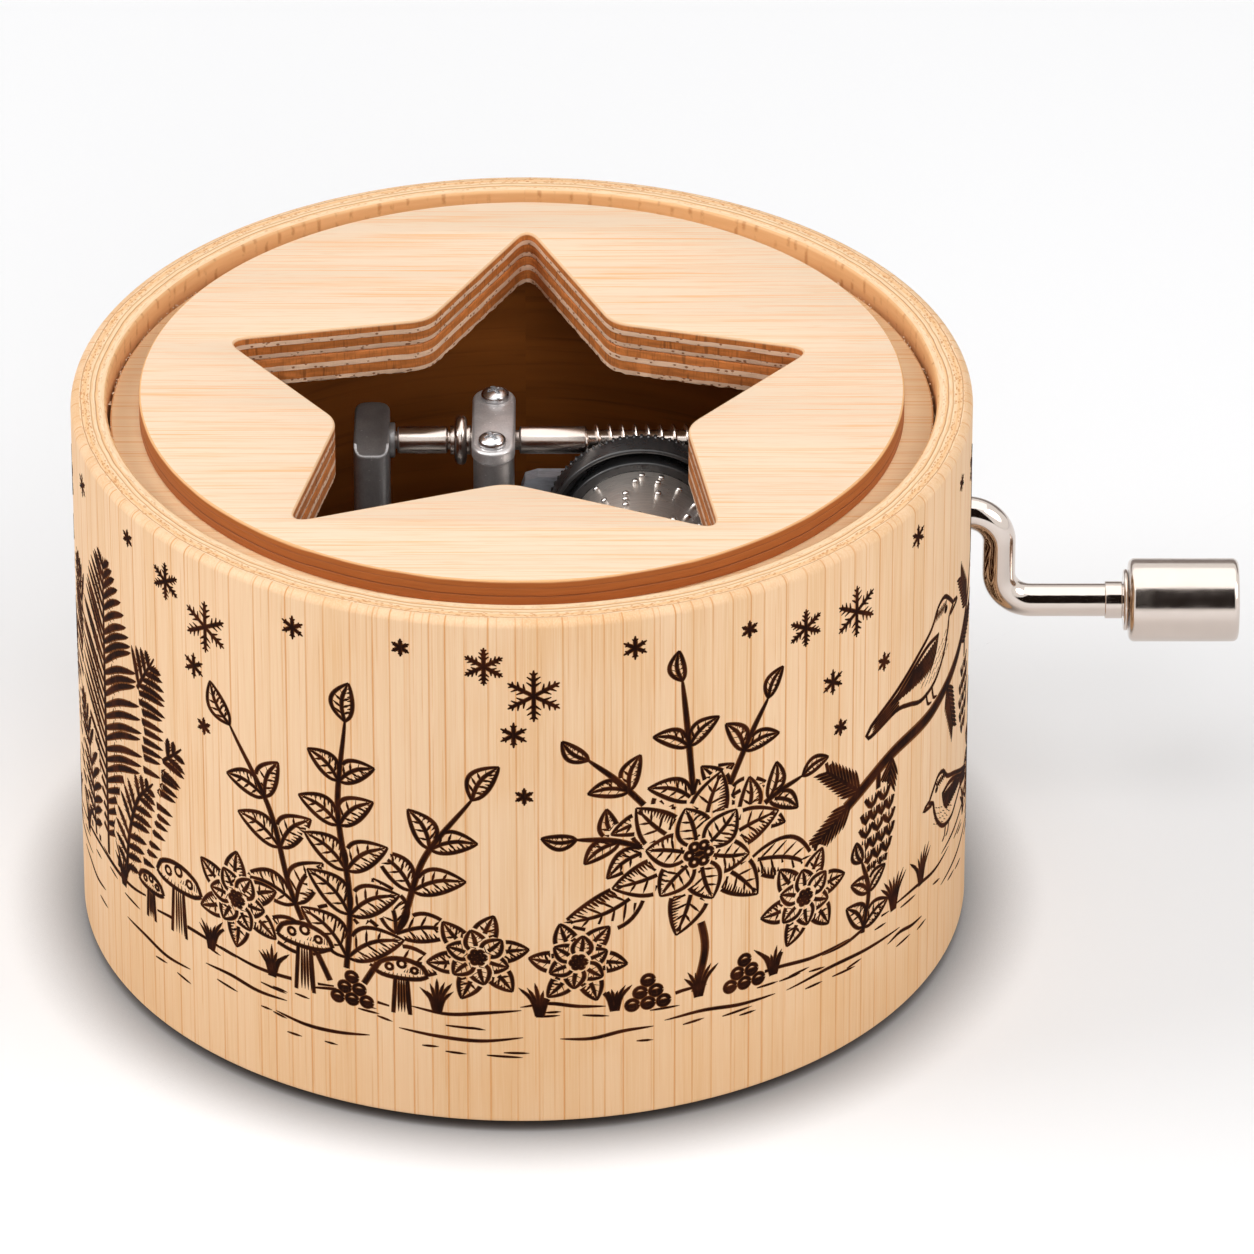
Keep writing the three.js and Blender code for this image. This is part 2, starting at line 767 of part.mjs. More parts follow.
// Transfer bracket, drawn with its foot at zero and its left face at x zero
function transferBracket() {
  const foot = bedplateTop + seatGap;
  const height = shaftZ + transferBracketAboveShaft - foot;
  const half = transferBracketWidth / 2;
  const corners = boxCorners(-height, 0, -half, half);
  const roundings = [bracketRounding, seatGap, seatGap, bracketRounding];
  const upright = alongX(plate(roundedOutline(corners, roundings), transferBracketThickness));
  const footReach = transferFootLength + transferBracketThickness / 2;
  const footPlate = slab(footReach, transferFootWidth, bracketFootThickness)
    .translate(transferBracketThickness / 2 + footReach / 2, 0, 0);
  const [shaftBore, spindleBore] = [
    [shaftJournalRadius, shaftZ],
    [spindleJournalRadius, spindleZ],
  ].map(([radius, axisZ]) => {
    const bore = rod(radius + runGap, -overrun, transferBracketThickness + overrun, shaftSides);
    return alongX(bore).translate(0, 0, axisZ - foot);
  });
  const [screwX] = transferScrewPlace();
  const screw = rod(frameShankRadius + holeGap, -overrun, bracketFootThickness + overrun, screwSides)
    .translate(screwX - transferBracketX, 0, 0);
  return cutBy(joined(upright, footPlate), shaftBore, spindleBore, screw);
}

// Comb, drawn in plan with the tooth tips at x zero and the rear edge at y zero
function comb() {
  const heelX = -combLongTooth;
  const outline = [
    new THREE.Vector2(heelX - combHeelWidth, 0),
    new THREE.Vector2(heelX - combHeelWidth, -combLength),
  ];
  for (let tooth = combTeeth - 1; tooth >= 0; tooth--) {
    const middle = -combMargin - combRootWidth / 2 - tooth * combPitch;
    const length = combLongTooth + (combShortTooth - combLongTooth) * tooth / (combTeeth - 1);
    outline.push(
      new THREE.Vector2(-length, middle - combRootWidth / 2),
      new THREE.Vector2(0, middle - combTipWidth / 2),
      new THREE.Vector2(0, middle + combTipWidth / 2),
      new THREE.Vector2(-length, middle + combRootWidth / 2),
    );
  }
  outline.push(new THREE.Vector2(heelX, -combMargin), new THREE.Vector2(heelX, 0));
  const teeth = plate(outline, combToothThickness);
  const heel = plate(boxCorners(heelX - combHeelWidth, heelX, -combLength, 0), combHeelThickness);
  const weights = [];
  for (let tooth = 0; tooth < weightedTeeth; tooth++) {
    const middle = -combMargin - combRootWidth / 2 - tooth * combPitch;
    const weight = slab(weightLength, combTipWidth, weightDepth + combToothThickness / 2);
    weights.push(weight.translate(-weightInset - weightLength / 2, middle, -weightDepth));
  }
  const holes = combScrewPlaces().map(([x, y]) => {
    const hole = rod(smallShankRadius + holeGap, -overrun, combHeelThickness + overrun, screwSides);
    return hole.translate(x - combTipX, y - combRearY, 0);
  });
  return cutBy(joined(teeth, heel, ...weights), ...holes);
}

// A spur gear's outline with involute flanks
function spurOutline(teeth, pitchRadius, outerRadius, rootRadius, thickness, firstTooth) {
  const baseRadius = pitchRadius * Math.cos(pressureAngle);
  const involute = (angle) => Math.tan(angle) - angle;
  const halfAngle = (radius) => {
    const local = radius > baseRadius ? Math.acos(baseRadius / radius) : 0;
    return thickness / (2 * pitchRadius) + involute(pressureAngle) - involute(local);
  };
  const flank = [rootRadius, pitchRadius, outerRadius];
  const outline = [];
  for (let tooth = 0; tooth < teeth; tooth++) {
    const middle = firstTooth + 2 * Math.PI * tooth / teeth;
    const rising = flank.map((radius) => [radius, middle - halfAngle(radius)]);
    const falling = flank.map((radius) => [radius, middle + halfAngle(radius)]).reverse();
    for (const [radius, angle] of [...rising, ...falling]) {
      outline.push(new THREE.Vector2(radius * Math.cos(angle), radius * Math.sin(angle)));
    }
  }
  return outline;
}

function transferPinion(bore, firstTooth) {
  const outline = spurOutline(
    transferTeeth,
    transferPitchRadius,
    transferPitchRadius + transferAddendum,
    transferPitchRadius - transferDedendum,
    (Math.PI * transferModule - transferBacklash) / 2,
    firstTooth,
  );
  const wheel = plate(outline, transferWidth);
  const hub = rod(transferHubRadius, overrun, transferWidth + transferHubLength, mediumSides);
  const hole = rod(bore, -overrun, transferWidth + transferHubLength + overrun, shaftSides);
  return alongX(cutBy(joined(wheel, hub), hole));
}

// Drive gear, drawn in the front view with its toothed rim centred on zero.
// Its teeth follow the worm's lead, so each layer of the rim is turned a little more.
// In front of the worm it widens to a smooth band with a ring inside it.
function driveGear() {
  const outline = [];
  const rootRadius = gearOuterRadius - gearToothDepth;
  const half = (width, radius) => width / (2 * radius);
  for (let tooth = 0; tooth < gearTeeth; tooth++) {
    const middle = Math.PI / 2 + 2 * Math.PI * (tooth + 1 / 2) / gearTeeth;
    for (const [radius, width, side] of [
      [rootRadius, gearRootWidth, -1],
      [gearOuterRadius, gearTipWidth, -1],
      [gearOuterRadius, gearTipWidth, 1],
      [rootRadius, gearRootWidth, 1],
    ]) {
      const angle = middle + side * half(width, radius);
      outline.push(new THREE.Vector2(radius * Math.cos(angle), radius * Math.sin(angle)));
    }
  }
  const rim = plate(outline, gearRimWidth).translate(0, 0, -gearRimWidth / 2);
  const wormPitchRadius = (wormCoreRadius + wormCrestRadius) / 2;
  const turnPerLength = wormPitch / (2 * Math.PI * wormPitchRadius * gearPitchRadius);
  const places = rim.attributes.position;
  for (let i = 0; i < places.count; i++) {
    const place = new THREE.Vector3().fromBufferAttribute(places, i);
    place.applyAxisAngle(new THREE.Vector3(0, 0, 1), turnPerLength * place.z);
    places.setXYZ(i, place.x, place.y, place.z);
  }
  const body = turned([
    [0, -gearRimWidth / 2 - gearHubLength],
    [gearHubRadius, -gearRimWidth / 2 - gearHubLength],
    [gearHubRadius, 0],
    [gearNeckRadius, 0],
    [gearNeckRadius, gearBandStart],
    [gearBandRadius, gearBandStart],
    [gearBandRadius, gearBandFront],
    [gearBandRadius - gearBandThickness, gearBandFront],
    [gearBandRadius - gearBandThickness, gearBandFront - gearGrooveDepth],
    [gearRingRadius, gearBandFront - gearGrooveDepth],
    [gearRingRadius, gearFront],
    [cylinderBore - glueGap, gearFront],
    [cylinderBore - glueGap, gearFront + gearSpigotLength],
    [0, gearFront + gearSpigotLength],
  ], largeSides);
  const bore = rod(
    arborRadius + seatGap,
    -gearRimWidth / 2 - gearHubLength - overrun,
    gearFront + gearSpigotLength + overrun,
    shaftSides,
  );
  return towardsFront(cutBy(joined(rim, body), bore));
}

// Pinned cylinder, drawn in the front view with its rear end at zero.
// The tune is a generic running figure: each step sounds one tooth per stride.
function pinnedCylinder() {
  const tube = ring(cylinderRadius, cylinderBore, 0, cylinderLength, largeSides);
  const pins = [];
  for (let step = 0; step < melodySteps; step++) {
    melodyStrides.forEach((stride, voice) => {
      const tooth = (step * stride + Math.floor(step / stride) + voice) % combTeeth;
      const angle = 2 * Math.PI * (step + voice / melodyStrides.length) / melodySteps;
      const pin = new THREE.CylinderGeometry(pinRadius, pinRadius, pinRoot + pinHeight, pinSides);
      pin.translate(0, cylinderRadius - pinRoot + (pinRoot + pinHeight) / 2, 0);
      pin.rotateZ(angle).translate(0, 0, combFirstTooth + tooth * combPitch);
      pins.push(pin);
    });
  }
  return towardsFront(joined(tube, ...pins));
}

function cylinderCap() {
  const cap = ring(cylinderBore - glueGap, arborRadius + seatGap, 0, cylinderCapThickness, largeSides);
  return towardsFront(cap);
}

function arbor() {
  const rear = rearBracketFront - runGap - seatGap - shaftY;
  const front = frontBracketBack + runGap + seatGap - shaftY;
  const rearEnd = rearBracketFront + bracketThickness + arborEndLength - shaftY;
  const frontEnd = frontBracketBack - bracketThickness - arborEndLength - shaftY;
  const profile = [
    [0, -rearEnd],
    [arborJournalRadius, -rearEnd],
    [arborJournalRadius, -rear],
    [arborRadius, -rear],
    [arborRadius, -front],
    [arborJournalRadius, -front],
    [arborJournalRadius, -frontEnd],
    [0, -frontEnd],
  ];
  return towardsFront(turned(profile, shaftSides));
}

// The worm's ridge, a right-handed helix whose middle crosses the gear's plane below the shaft
function wormRidge() {
  const innerRadius = wormCoreRadius - overrun / 2;
  const section = [
    [innerRadius, -wormRidgeWidth / 2],
    [wormCrestRadius, -wormCrestWidth / 2],
    [wormCrestRadius, wormCrestWidth / 2],
    [innerRadius, wormRidgeWidth / 2],
  ];
  const steps = wormTurns * ridgeSteps;
  const places = [];
  for (let step = 0; step <= steps; step++) {
    const angle = 2 * Math.PI * (step - steps / 2) / ridgeSteps;
    const middle = wormPitch * (step - steps / 2) / ridgeSteps;
    for (const [radius, offset] of section) {
      places.push(radius * Math.cos(angle), radius * Math.sin(angle), middle + offset);
    }
  }
  const corners = [0, 2, 1, 0, 3, 2];
  for (let step = 0; step < steps; step++) {
    for (let side = 0; side < section.length; side++) {
      const a = step * section.length + side;
      const b = step * section.length + (side + 1) % section.length;
      const c = a + section.length;
      const d = b + section.length;
      corners.push(a, b, d, a, d, c);
    }
  }
  const last = steps * section.length;
  corners.push(last, last + 1, last + 2, last, last + 2, last + 3);
  const geometry = new THREE.BufferGeometry();
  geometry.setAttribute("position", new THREE.Float32BufferAttribute(places, 3));
  geometry.setIndex(corners);
  return geometry;
}

// Worm shaft, drawn along X with the gear's plane at zero
function wormShaft() {
  const wormHalf = wormTurns * wormPitch / 2 + wormShoulder;
  const bracketLeft = transferBracketX - runGap - gearX;
  const end = transferX + transferWidth + transferHubLength - gearX;
  const station = (x) => x - gearX;
  const profile = [
    [0, station(shaftPivotEnd)],
    [shaftPivotRadius, station(shaftPivotEnd)],
    [shaftPivotRadius, station(shaftLeftStart)],
    [shaftRadius - shaftChamfer, station(shaftLeftStart)],
    [shaftRadius, station(shaftLeftStart) + shaftChamfer],
    [shaftRadius, station(shaftLeftEnd) - shaftChamfer],
    [shaftRadius - shaftChamfer, station(shaftLeftEnd)],
    [shaftJournalRadius, station(shaftLeftEnd)],
    [shaftJournalRadius, station(shaftRightStart)],
    [shaftRadius - shaftChamfer, station(shaftRightStart)],
    [shaftRadius, station(shaftRightStart) + shaftChamfer],
    [shaftRadius, station(shaftRightEnd) - shaftChamfer],
    [shaftRadius - shaftChamfer, station(shaftRightEnd)],
    [wormCoreRadius, station(shaftRightEnd)],
    [wormCoreRadius, wormHalf],
    [shaftRadius, wormHalf],
    [shaftRadius, bracketLeft],
    [shaftJournalRadius, bracketLeft],
    [shaftJournalRadius, end],
    [0, end],
  ];
  return alongX(joined(turned(profile, shaftSides), wormRidge()));
}

function thrustCollar() {
  const bore = shaftJournalRadius + seatGap;
  const half = collarWidth / 2;
  const profile = [
    [bore, -half - collarHubLength],
    [collarHubRadius, -half - collarHubLength],
    [collarHubRadius, -half],
  ];
  const crown = collarRadius - half;
  for (let step = 0; step <= 2 * cornerSteps; step++) {
    const angle = -Math.PI / 2 + Math.PI * step / (2 * cornerSteps);
    profile.push([crown + half * Math.cos(angle), half * Math.sin(angle)]);
  }
  profile.push(
    [collarHubRadius, half],
    [collarHubRadius, half + collarHubLength],
    [bore, half + collarHubLength],
    [bore, -half - collarHubLength],
  );
  return alongX(turned(profile, mediumSides));
}

// Crank rod, drawn with the spindle's axis through zero: spindle, two bends, handle stretch and knob pin
function crankRod() {
  const route = new THREE.CurvePath();
  const straightDown = crankDrop - 2 * crankBendRadius;
  const downX = crankBendX + crankBendRadius;
  const handleX = downX + crankBendRadius;
  const start = new THREE.Vector3(spindleStepX, 0, 0);
  const bendStart = new THREE.Vector3(crankBendX, 0, 0);
  const firstCorner = new THREE.Vector3(downX, 0, 0);
  const downStart = new THREE.Vector3(downX, 0, -crankBendRadius);
  const downEnd = new THREE.Vector3(downX, 0, -crankBendRadius - straightDown);
  const secondCorner = new THREE.Vector3(downX, 0, -crankDrop);
  const handleStart = new THREE.Vector3(handleX, 0, -crankDrop);
  const handleEnd = new THREE.Vector3(washerStart, 0, -crankDrop);
  route.add(new THREE.LineCurve3(start, bendStart));
  route.add(quarterBend(bendStart, firstCorner, downStart));
  route.add(new THREE.LineCurve3(downStart, downEnd));
  route.add(quarterBend(downEnd, secondCorner, handleStart));
  route.add(new THREE.LineCurve3(handleStart, handleEnd));
  const section = new THREE.Shape(circleOutline(rodRadius, rodSides));
  const bar = new THREE.ExtrudeGeometry(section, { steps: rodSteps, extrudePath: route });
  const journal = alongX(rod(spindleJournalRadius, spindleInnerEnd, spindleStepX + overrun, shaftSides));
  const pin = alongX(rod(knobPinRadius, washerStart - overrun, knobStart + knobPinLength, shaftSides))
    .translate(0, 0, -crankDrop);
  return joined(bar, journal, pin);
}

// A quarter circle as a cubic curve, with the usual share of the way to the corner
function quarterBend(start, corner, end) {
  const reachShare = 0.5523;
  const first = start.clone().lerp(corner, reachShare);
  const second = end.clone().lerp(corner, reachShare);
  return new THREE.CubicBezierCurve3(start, first, second, end);
}

function knob() {
  const boreRadius = knobPinRadius + runGap;
  const boreDepth = knobPinLength + knobBoreExtra;
  const profile = [[0, boreDepth], [boreRadius, boreDepth], [boreRadius, 0], [knobRadius - knobRounding, 0]];
  for (const [end, from] of [[knobRounding, -Math.PI / 2], [knobLength - knobRounding, 0]]) {
    for (let step = 1; step <= cornerSteps; step++) {
      const angle = from + Math.PI / 2 * step / cornerSteps;
      const across = knobRadius - knobRounding + knobRounding * Math.cos(angle);
      profile.push([across, end + knobRounding * Math.sin(angle)]);
    }
  }
  profile.push([0, knobLength]);
  return alongX(turned(profile, largeSides));
}

function collarRing(outer, inner, width, sides) {
  return alongX(ring(outer, inner, 0, width, sides));
}

// Assembly
function drumPieces() {
  const group = new THREE.Group();
  group.add(
    piece("outer_wall", outerWall(), paleWood, 0, 0, wallBottom),
    piece("inner_liner", innerLiner(), stainedWood, 0, 0, baseTop + glueGap),
    piece("lid_flange_disc", lidDisc(innerRadius - lidFlangeGap, lidFlangeThickness), lidWood,
      0, 0, lidBottom),
    piece("lid_top_disc", lidDisc(lidTopRadius, lidTopThickness - seatGap), lidWood,
      0, 0, lidFlangeTop + seatGap),
    piece("base_board", baseBoard(), paleWood, 0, 0, wallBottom),
    piece("base_pad", rod(drumRadius - padInset, 0, padThickness - seatGap, drumSides), felt, 0, 0, 0),
    piece("riser_block", riserBlock(), paleWood, 0, 0, riserBottom),
  );
  woodScrewPlaces().forEach(([x, y], index) => {
    const name = ["base_screw_left", "base_screw_right"][index];
    group.add(piece(name, woodScrew(), screwSteel, x, y, wallBottom + seatGap));
  });
  return group;
}

function framePieces() {
  const group = new THREE.Group();
  const postZ = bedplateTop + seatGap;
  const rearY = rearBracketFront + bracketThickness;
  const capY = shaftY + bearingPostOffset;
  const rearBracket = arborBracket(
    rearBracketLeft,
    rearBracketRight,
    rearBracketAboveAxis,
    rearBracketScrewSpacing,
    1,
  );
  const frontBracket = arborBracket(
    frontBracketHalfWidth,
    frontBracketHalfWidth,
    frontBracketAboveAxis,
    frontBracketScrewSpacing,
    -1,
  );
  group.add(
    piece("bedplate", bedplate(), castMetal, 0, 0, bedplateBottom),
    piece("end_post", endPost(), castMetal, endPostX, shaftY, postZ),
    piece("bearing_post", bearingPost(), castMetal, bearingPostX, bearingStemCentre(), postZ),
    piece("bearing_cap", bearingCap(), castMetal, bearingPostX, capY, bearingPostTop + seatGap),
    piece("comb", comb(), combSteel, combTipX, combRearY, combUnder),
    piece("rear_arbor_bracket", rearBracket, bracketSteel, gearX, rearY, arborZ),
    piece("front_arbor_bracket", frontBracket, bracketSteel, gearX, frontBracketBack, arborZ),
    piece("transfer_bracket", transferBracket(), bracketSteel, transferBracketX, shaftY, postZ),
    piece("wall_bushing", collarRing(bushRadius, rodRadius + runGap, bushEnd - bushStart, mediumSides), brass,
      bushStart, shaftY, spindleZ),
  );
  return group;
}

function framePiecesScrews() {
  const group = new THREE.Group();
  const footTop = bedplateTop + 2 * seatGap + bracketFootThickness;
  bedplateScrewPlaces().forEach(([x, y], index) => {
    const screw = frameScrew(bedplateShankLength);
    group.add(piece(`bedplate_screw_${index + 1}`, screw, screwSteel, x, y, bedplateTop + seatGap));
  });
  const capTop = bearingPostTop + bearingCapThickness + 2 * seatGap;
  capScrewPlaces().forEach(([x, y], index) => {
    const name = ["cap_screw_rear", "cap_screw_front"][index];
    const screwY = shaftY + bearingPostOffset + y;
    group.add(piece(name, smallScrew(), screwSteel, bearingPostX + x, screwY, capTop));
  });
  combScrewPlaces().forEach(([x, y], index) => {
    const name = ["comb_screw_rear", "comb_screw_front"][index];
    group.add(piece(name, smallScrew(), screwSteel, x, y, combUnder + combHeelThickness + seatGap));
  });
  rearBracketScrewPlaces().forEach(([x, y], index) => {
    const name = ["rear_bracket_screw_left", "rear_bracket_screw_right"][index];
    group.add(piece(name, frameScrew(bracketShankLength), screwSteel, x, y, footTop));
  });
  frontBracketScrewPlaces().forEach(([x, y], index) => {
    const name = ["front_bracket_screw_left", "front_bracket_screw_right"][index];
    group.add(piece(name, frameScrew(bracketShankLength), screwSteel, x, y, footTop));
  });
  const [transferScrewX, transferScrewY] = transferScrewPlace();
  const transferScrew = frameScrew(bracketShankLength);
  group.add(
    piece("transfer_bracket_screw", transferScrew, screwSteel, transferScrewX, transferScrewY, footTop),
  );
  return group;
}

function cylinderPieces() {
  const group = new THREE.Group();
  const capY = cylinderFrontY + cylinderCapThickness;
  group.add(
    piece("pinned_cylinder", pinnedCylinder(), cylinderMetal, gearX, cylinderY, arborZ),
    piece("cylinder_cap", cylinderCap(), blackPlastic, gearX, capY, arborZ),
    piece("drive_gear", driveGear(), blackPlastic, gearX, shaftY, arborZ),
    piece("arbor", arbor(), screwSteel, gearX, shaftY, arborZ),
  );
  return group;
}

function wormPieces() {
  const group = new THREE.Group();
  const firstTooth = 0;
  group.add(
    piece("worm_shaft", wormShaft(), nickel, gearX, shaftY, shaftZ),
    piece("thrust_collar", thrustCollar(), nickel, collarX, shaftY, shaftZ),
    piece("worm_pinion", transferPinion(shaftJournalRadius + seatGap, firstTooth), brass,
      transferX, shaftY, shaftZ),
  );
  return group;
}

function crankPieces() {
  const group = new THREE.Group();
  const halfTooth = Math.PI / transferTeeth;
  const collarBore = rodRadius + seatGap;
  const collar = collarRing(spindleCollarRadius, collarBore, spindleCollarWidth, mediumSides);
  const sleeve = collarRing(sleeveRadius + seatGap, collarBore, sleeveLength, mediumSides);
  group.add(
    piece("crank_rod", crankRod(), nickel, 0, shaftY, spindleZ),
    piece("crank_pinion", transferPinion(spindleJournalRadius + seatGap, halfTooth), brass,
      transferX, shaftY, spindleZ),
    piece("spindle_collar", collar, nickel, spindleCollarX, shaftY, spindleZ),
    piece("crank_sleeve", sleeve, nickel, sleeveStart, shaftY, knobZ),
    piece("knob_washer", collarRing(washerRadius, knobPinRadius + seatGap, washerThickness, mediumSides),
      nickel, washerStart + seatGap, shaftY, knobZ),
    piece("knob", knob(), nickel, knobStart, shaftY, knobZ),
  );
  return group;
}

const musicBox = new THREE.Group();
musicBox.name = "hand_crank_music_box";
musicBox.add(drumPieces(), framePieces(), framePiecesScrews(), cylinderPieces(), wormPieces(), crankPieces());

export default musicBox;
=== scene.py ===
"""Looks of a hand crank music box: pale wood drum with a burnt frieze, plywood lid with a star window,
polished crank and the small movement under the window, dressed round the packed solids."""

import random
from cmath import rect
from math import cos, pi, radians, sin, sqrt

import bmesh
import bpy
from mathutils import Matrix, Vector
from mathutils.geometry import tessellate_polygon


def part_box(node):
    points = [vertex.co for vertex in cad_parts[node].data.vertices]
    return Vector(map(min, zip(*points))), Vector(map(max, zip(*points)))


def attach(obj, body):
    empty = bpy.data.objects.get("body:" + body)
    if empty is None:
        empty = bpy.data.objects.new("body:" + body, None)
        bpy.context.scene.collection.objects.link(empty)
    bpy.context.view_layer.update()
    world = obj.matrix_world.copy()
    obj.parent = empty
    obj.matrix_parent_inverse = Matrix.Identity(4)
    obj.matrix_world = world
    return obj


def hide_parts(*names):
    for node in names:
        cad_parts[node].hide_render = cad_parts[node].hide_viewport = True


bl_info = {
    "name": "Hand crank music box",
    "version": (1, 0, 0),
    "blender": (4, 5, 0),
    "location": "3D View > Sidebar > Music box",
    "description": "Dresses the solids of a hand crank music box in wood, metal and a burnt frieze",
    "category": "Object",
}

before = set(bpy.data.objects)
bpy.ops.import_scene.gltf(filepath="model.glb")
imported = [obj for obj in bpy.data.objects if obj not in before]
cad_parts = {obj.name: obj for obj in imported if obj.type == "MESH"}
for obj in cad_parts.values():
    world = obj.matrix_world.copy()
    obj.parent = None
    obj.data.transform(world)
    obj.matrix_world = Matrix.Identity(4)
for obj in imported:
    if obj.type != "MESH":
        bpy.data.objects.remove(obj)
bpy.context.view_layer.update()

# One millimetre in Blender's metres. Shapes below are drawn in millimetres
MM = 0.001
SHARP_ANGLE = radians(32)
TURN = 2 * pi
HOLE_GAP = 0.1
ALONG_X = Matrix.Rotation(pi / 2, 4, "Y")
TOWARDS_FRONT = Matrix.Rotation(pi / 2, 4, "X")

# Photograph's camera: its distance, height above the horizon, lens and the point it looks at
CAMERA_DISTANCE = 1.0
CAMERA_ELEVATION = radians(30.95)
CAMERA_LENS = 320
CAMERA_TARGET = Vector((9.32, 0, 27.8)) * MM


def box_mm(node):
    """Lowest and highest corner of a solid, in millimetres."""
    low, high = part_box(node)
    return low / MM, high / MM


def centre_mm(node):
    low, high = box_mm(node)
    return (low + high) / 2


def turned_mm(node):
    """Lowest and highest corner, middle and radius of a solid turned about a level axis."""
    low, high = box_mm(node)
    return low, high, (low + high) / 2, (high.z - low.z) / 2


def along_x(axis, x=0):
    """Lays a turned piece along X on an axis."""
    return Matrix.Translation((x, axis.y, axis.z)) @ ALONG_X


def colour_setting(name, description, default):
    return bpy.props.FloatVectorProperty(
        name=name, description=description, subtype="COLOR", size=3, min=0, max=1, default=default)


def length_setting(name, description, millimetres):
    return bpy.props.FloatProperty(
        name=name, description=description, unit="LENGTH", default=millimetres * MM)


def power_setting(name, description, watts):
    return bpy.props.FloatProperty(
        name=name, description=description, subtype="POWER", unit="POWER", default=watts)


def placed(name, data):
    made = bpy.data.objects.new(name, data)
    bpy.context.scene.collection.objects.link(made)
    return made


def aimed(made, place, direction):
    """Puts a lamp or the camera at a place, looking in a direction."""
    made.location = place
    made.rotation_mode = "QUATERNION"
    made.rotation_quaternion = direction.to_track_quat("-Z", "Y")
    return made


class WoodLooks(bpy.types.PropertyGroup):
    """Colours and grain of the wooden pieces."""

    side: colour_setting("Side", "Wood of the drum's side", (0.9, 0.605, 0.37))
    side_line: colour_setting("Side line", "Dark lines between the strips of the side", (0.76, 0.35, 0.12))
    lid: colour_setting("Lid", "Top face of the lid", (0.945, 0.715, 0.515))
    lid_streak: colour_setting("Lid streak", "Streaks along the lid's grain", (0.94, 0.51, 0.235))
    pale_ply: colour_setting("Pale ply", "Pale layers of the lid's plywood", (0.84, 0.57, 0.39))
    brown_ply: colour_setting("Brown ply", "Brown layers of the lid's plywood", (0.42, 0.135, 0.032))
    # Partly the lining's real dark stain, partly painted shade for the dim inside of the drum.
    stain: colour_setting("Stain", "Dark stain inside the drum", (0.28, 0.085, 0.014))
    burn: colour_setting("Burn", "Core of a burnt stroke", (0.013, 0.003, 0.001))
    scorch: colour_setting("Scorch", "Edge of a burnt stroke", (0.22, 0.075, 0.02))
    strip: length_setting("Strip width", "Usual distance between the side's dark lines", 1.9)
    edge: length_setting("Sanded edge", "Rounding of the lid's sanded edges", 0.16)


class LidSizes(bpy.types.PropertyGroup):
    """Sizes of the star window."""

    inset: length_setting("Tip inset", "From the upper disc's radius to the star's tip radius", 5)
    corner_shares: bpy.props.FloatVectorProperty(
        name="Corner shares", size=6,
        description="Each corner's radius, from the rear tip to the front notch",
        default=(1.04, 0.525, 0.955, 0.564, 1.035, 0.55))
    turn_shares: bpy.props.FloatVectorProperty(
        name="Turn shares", description="Each corner's place on the half turn to the front notch", size=6,
        default=(0.0, 0.182, 0.399, 0.61, 0.785, 1.0))
    tip_rounding: length_setting("Tip rounding", "Where a tip's rounding starts, from its corner", 2.2)
    notch_rounding: length_setting("Notch rounding", "Where a notch's rounding starts, from its corner", 1.7)
    shift: bpy.props.FloatVectorProperty(
        name="Shift", description="From the drum's axis to the star's middle", unit="LENGTH", size=2,
        default=(-0.63 * MM, -1.07 * MM))
    turn: bpy.props.FloatProperty(
        name="Turn", description="Turn of the star about its middle", subtype="ANGLE",
        default=radians(-1.8))


class MetalLooks(bpy.types.PropertyGroup):
    """Colours of the metal and plastic pieces."""

    nickel: colour_setting("Nickel", "Polished crank, shaft and knob", (0.72, 0.63, 0.57))
    cast: colour_setting("Casting", "Posts, cap and bedplate", (0.32, 0.31, 0.31))
    sheet: colour_setting("Sheet steel", "Brackets", (0.78, 0.8, 0.87))
    zinc: colour_setting("Screws", "Screws and arbor", (0.8, 0.8, 0.81))
    drum: colour_setting("Pinned cylinder", "Brushed face of the cylinder", (0.918, 0.8424, 0.7776))
    brass: colour_setting("Brass", "Bush and small gears", (0.6, 0.42, 0.18))
    plastic: colour_setting("Black plastic", "Drive gear and the cylinder's end cap", (0.024, 0.024, 0.025))


class FriezeSizes(bpy.types.PropertyGroup):
    """Sizes of the burnt frieze."""

    line: length_setting("Line", "Width of an outline", 0.46)
    fine: length_setting("Fine line", "Width of a vein or hatch line", 0.28)
    ground: length_setting("Ground", "Height at which the plants stand", 13.5)
    step: length_setting("Step", "Distance between a stroke's points", 0.55)


class StudioLooks(bpy.types.PropertyGroup):
    """Floor and lamps."""

    floor: colour_setting("Floor", "Colour of the floor", (0.58, 0.58, 0.59))
    floor_seen: colour_setting(
        "Floor seen", "Colour of the floor to the camera and in metal", (0.79, 0.79, 0.8))
    floor_glow: bpy.props.FloatProperty(
        name="Floor glow", description="What the camera and metal see added to the lit floor", default=0.19)
    # Painted shadow: reach of the contact shadow painted into the floor's colour near the box.
    contact_shadow: length_setting("Contact", "Reach of the dark edge where the box meets the floor", 8)
    sky: bpy.props.FloatProperty(
        name="Sky light", description="Strength of the even light from all round", default=0.34)
    front: power_setting("Front lamp", "Power of the lamp beside the camera", 5.0)
    high: power_setting("High lamp", "Power of the lamp high in front", 2.0)
    left: power_setting("Left lamp", "Power of the lamp at the front left", 12.0)
    right: power_setting("Right lamp", "Power of the lamp at the front right", 6.0)


def soften(corners, amount, steps=3):
    """A line of corners with each inner corner rounded."""
    softened = [tuple(corners[0])]
    for before, corner, after in zip(corners, corners[1:], corners[2:]):
        back, middle, ahead = Vector(before), Vector(corner), Vector(after)
        reach = min(amount, (back - middle).length / 2, (ahead - middle).length / 2)
        start = middle + (back - middle).normalized() * reach
        end = middle + (ahead - middle).normalized() * reach
        for step in range(steps + 1):
            share = step / steps
            softened.append(tuple(start.lerp(middle, share).lerp(middle.lerp(end, share), share)))
    softened.append(tuple(corners[-1]))
    return softened


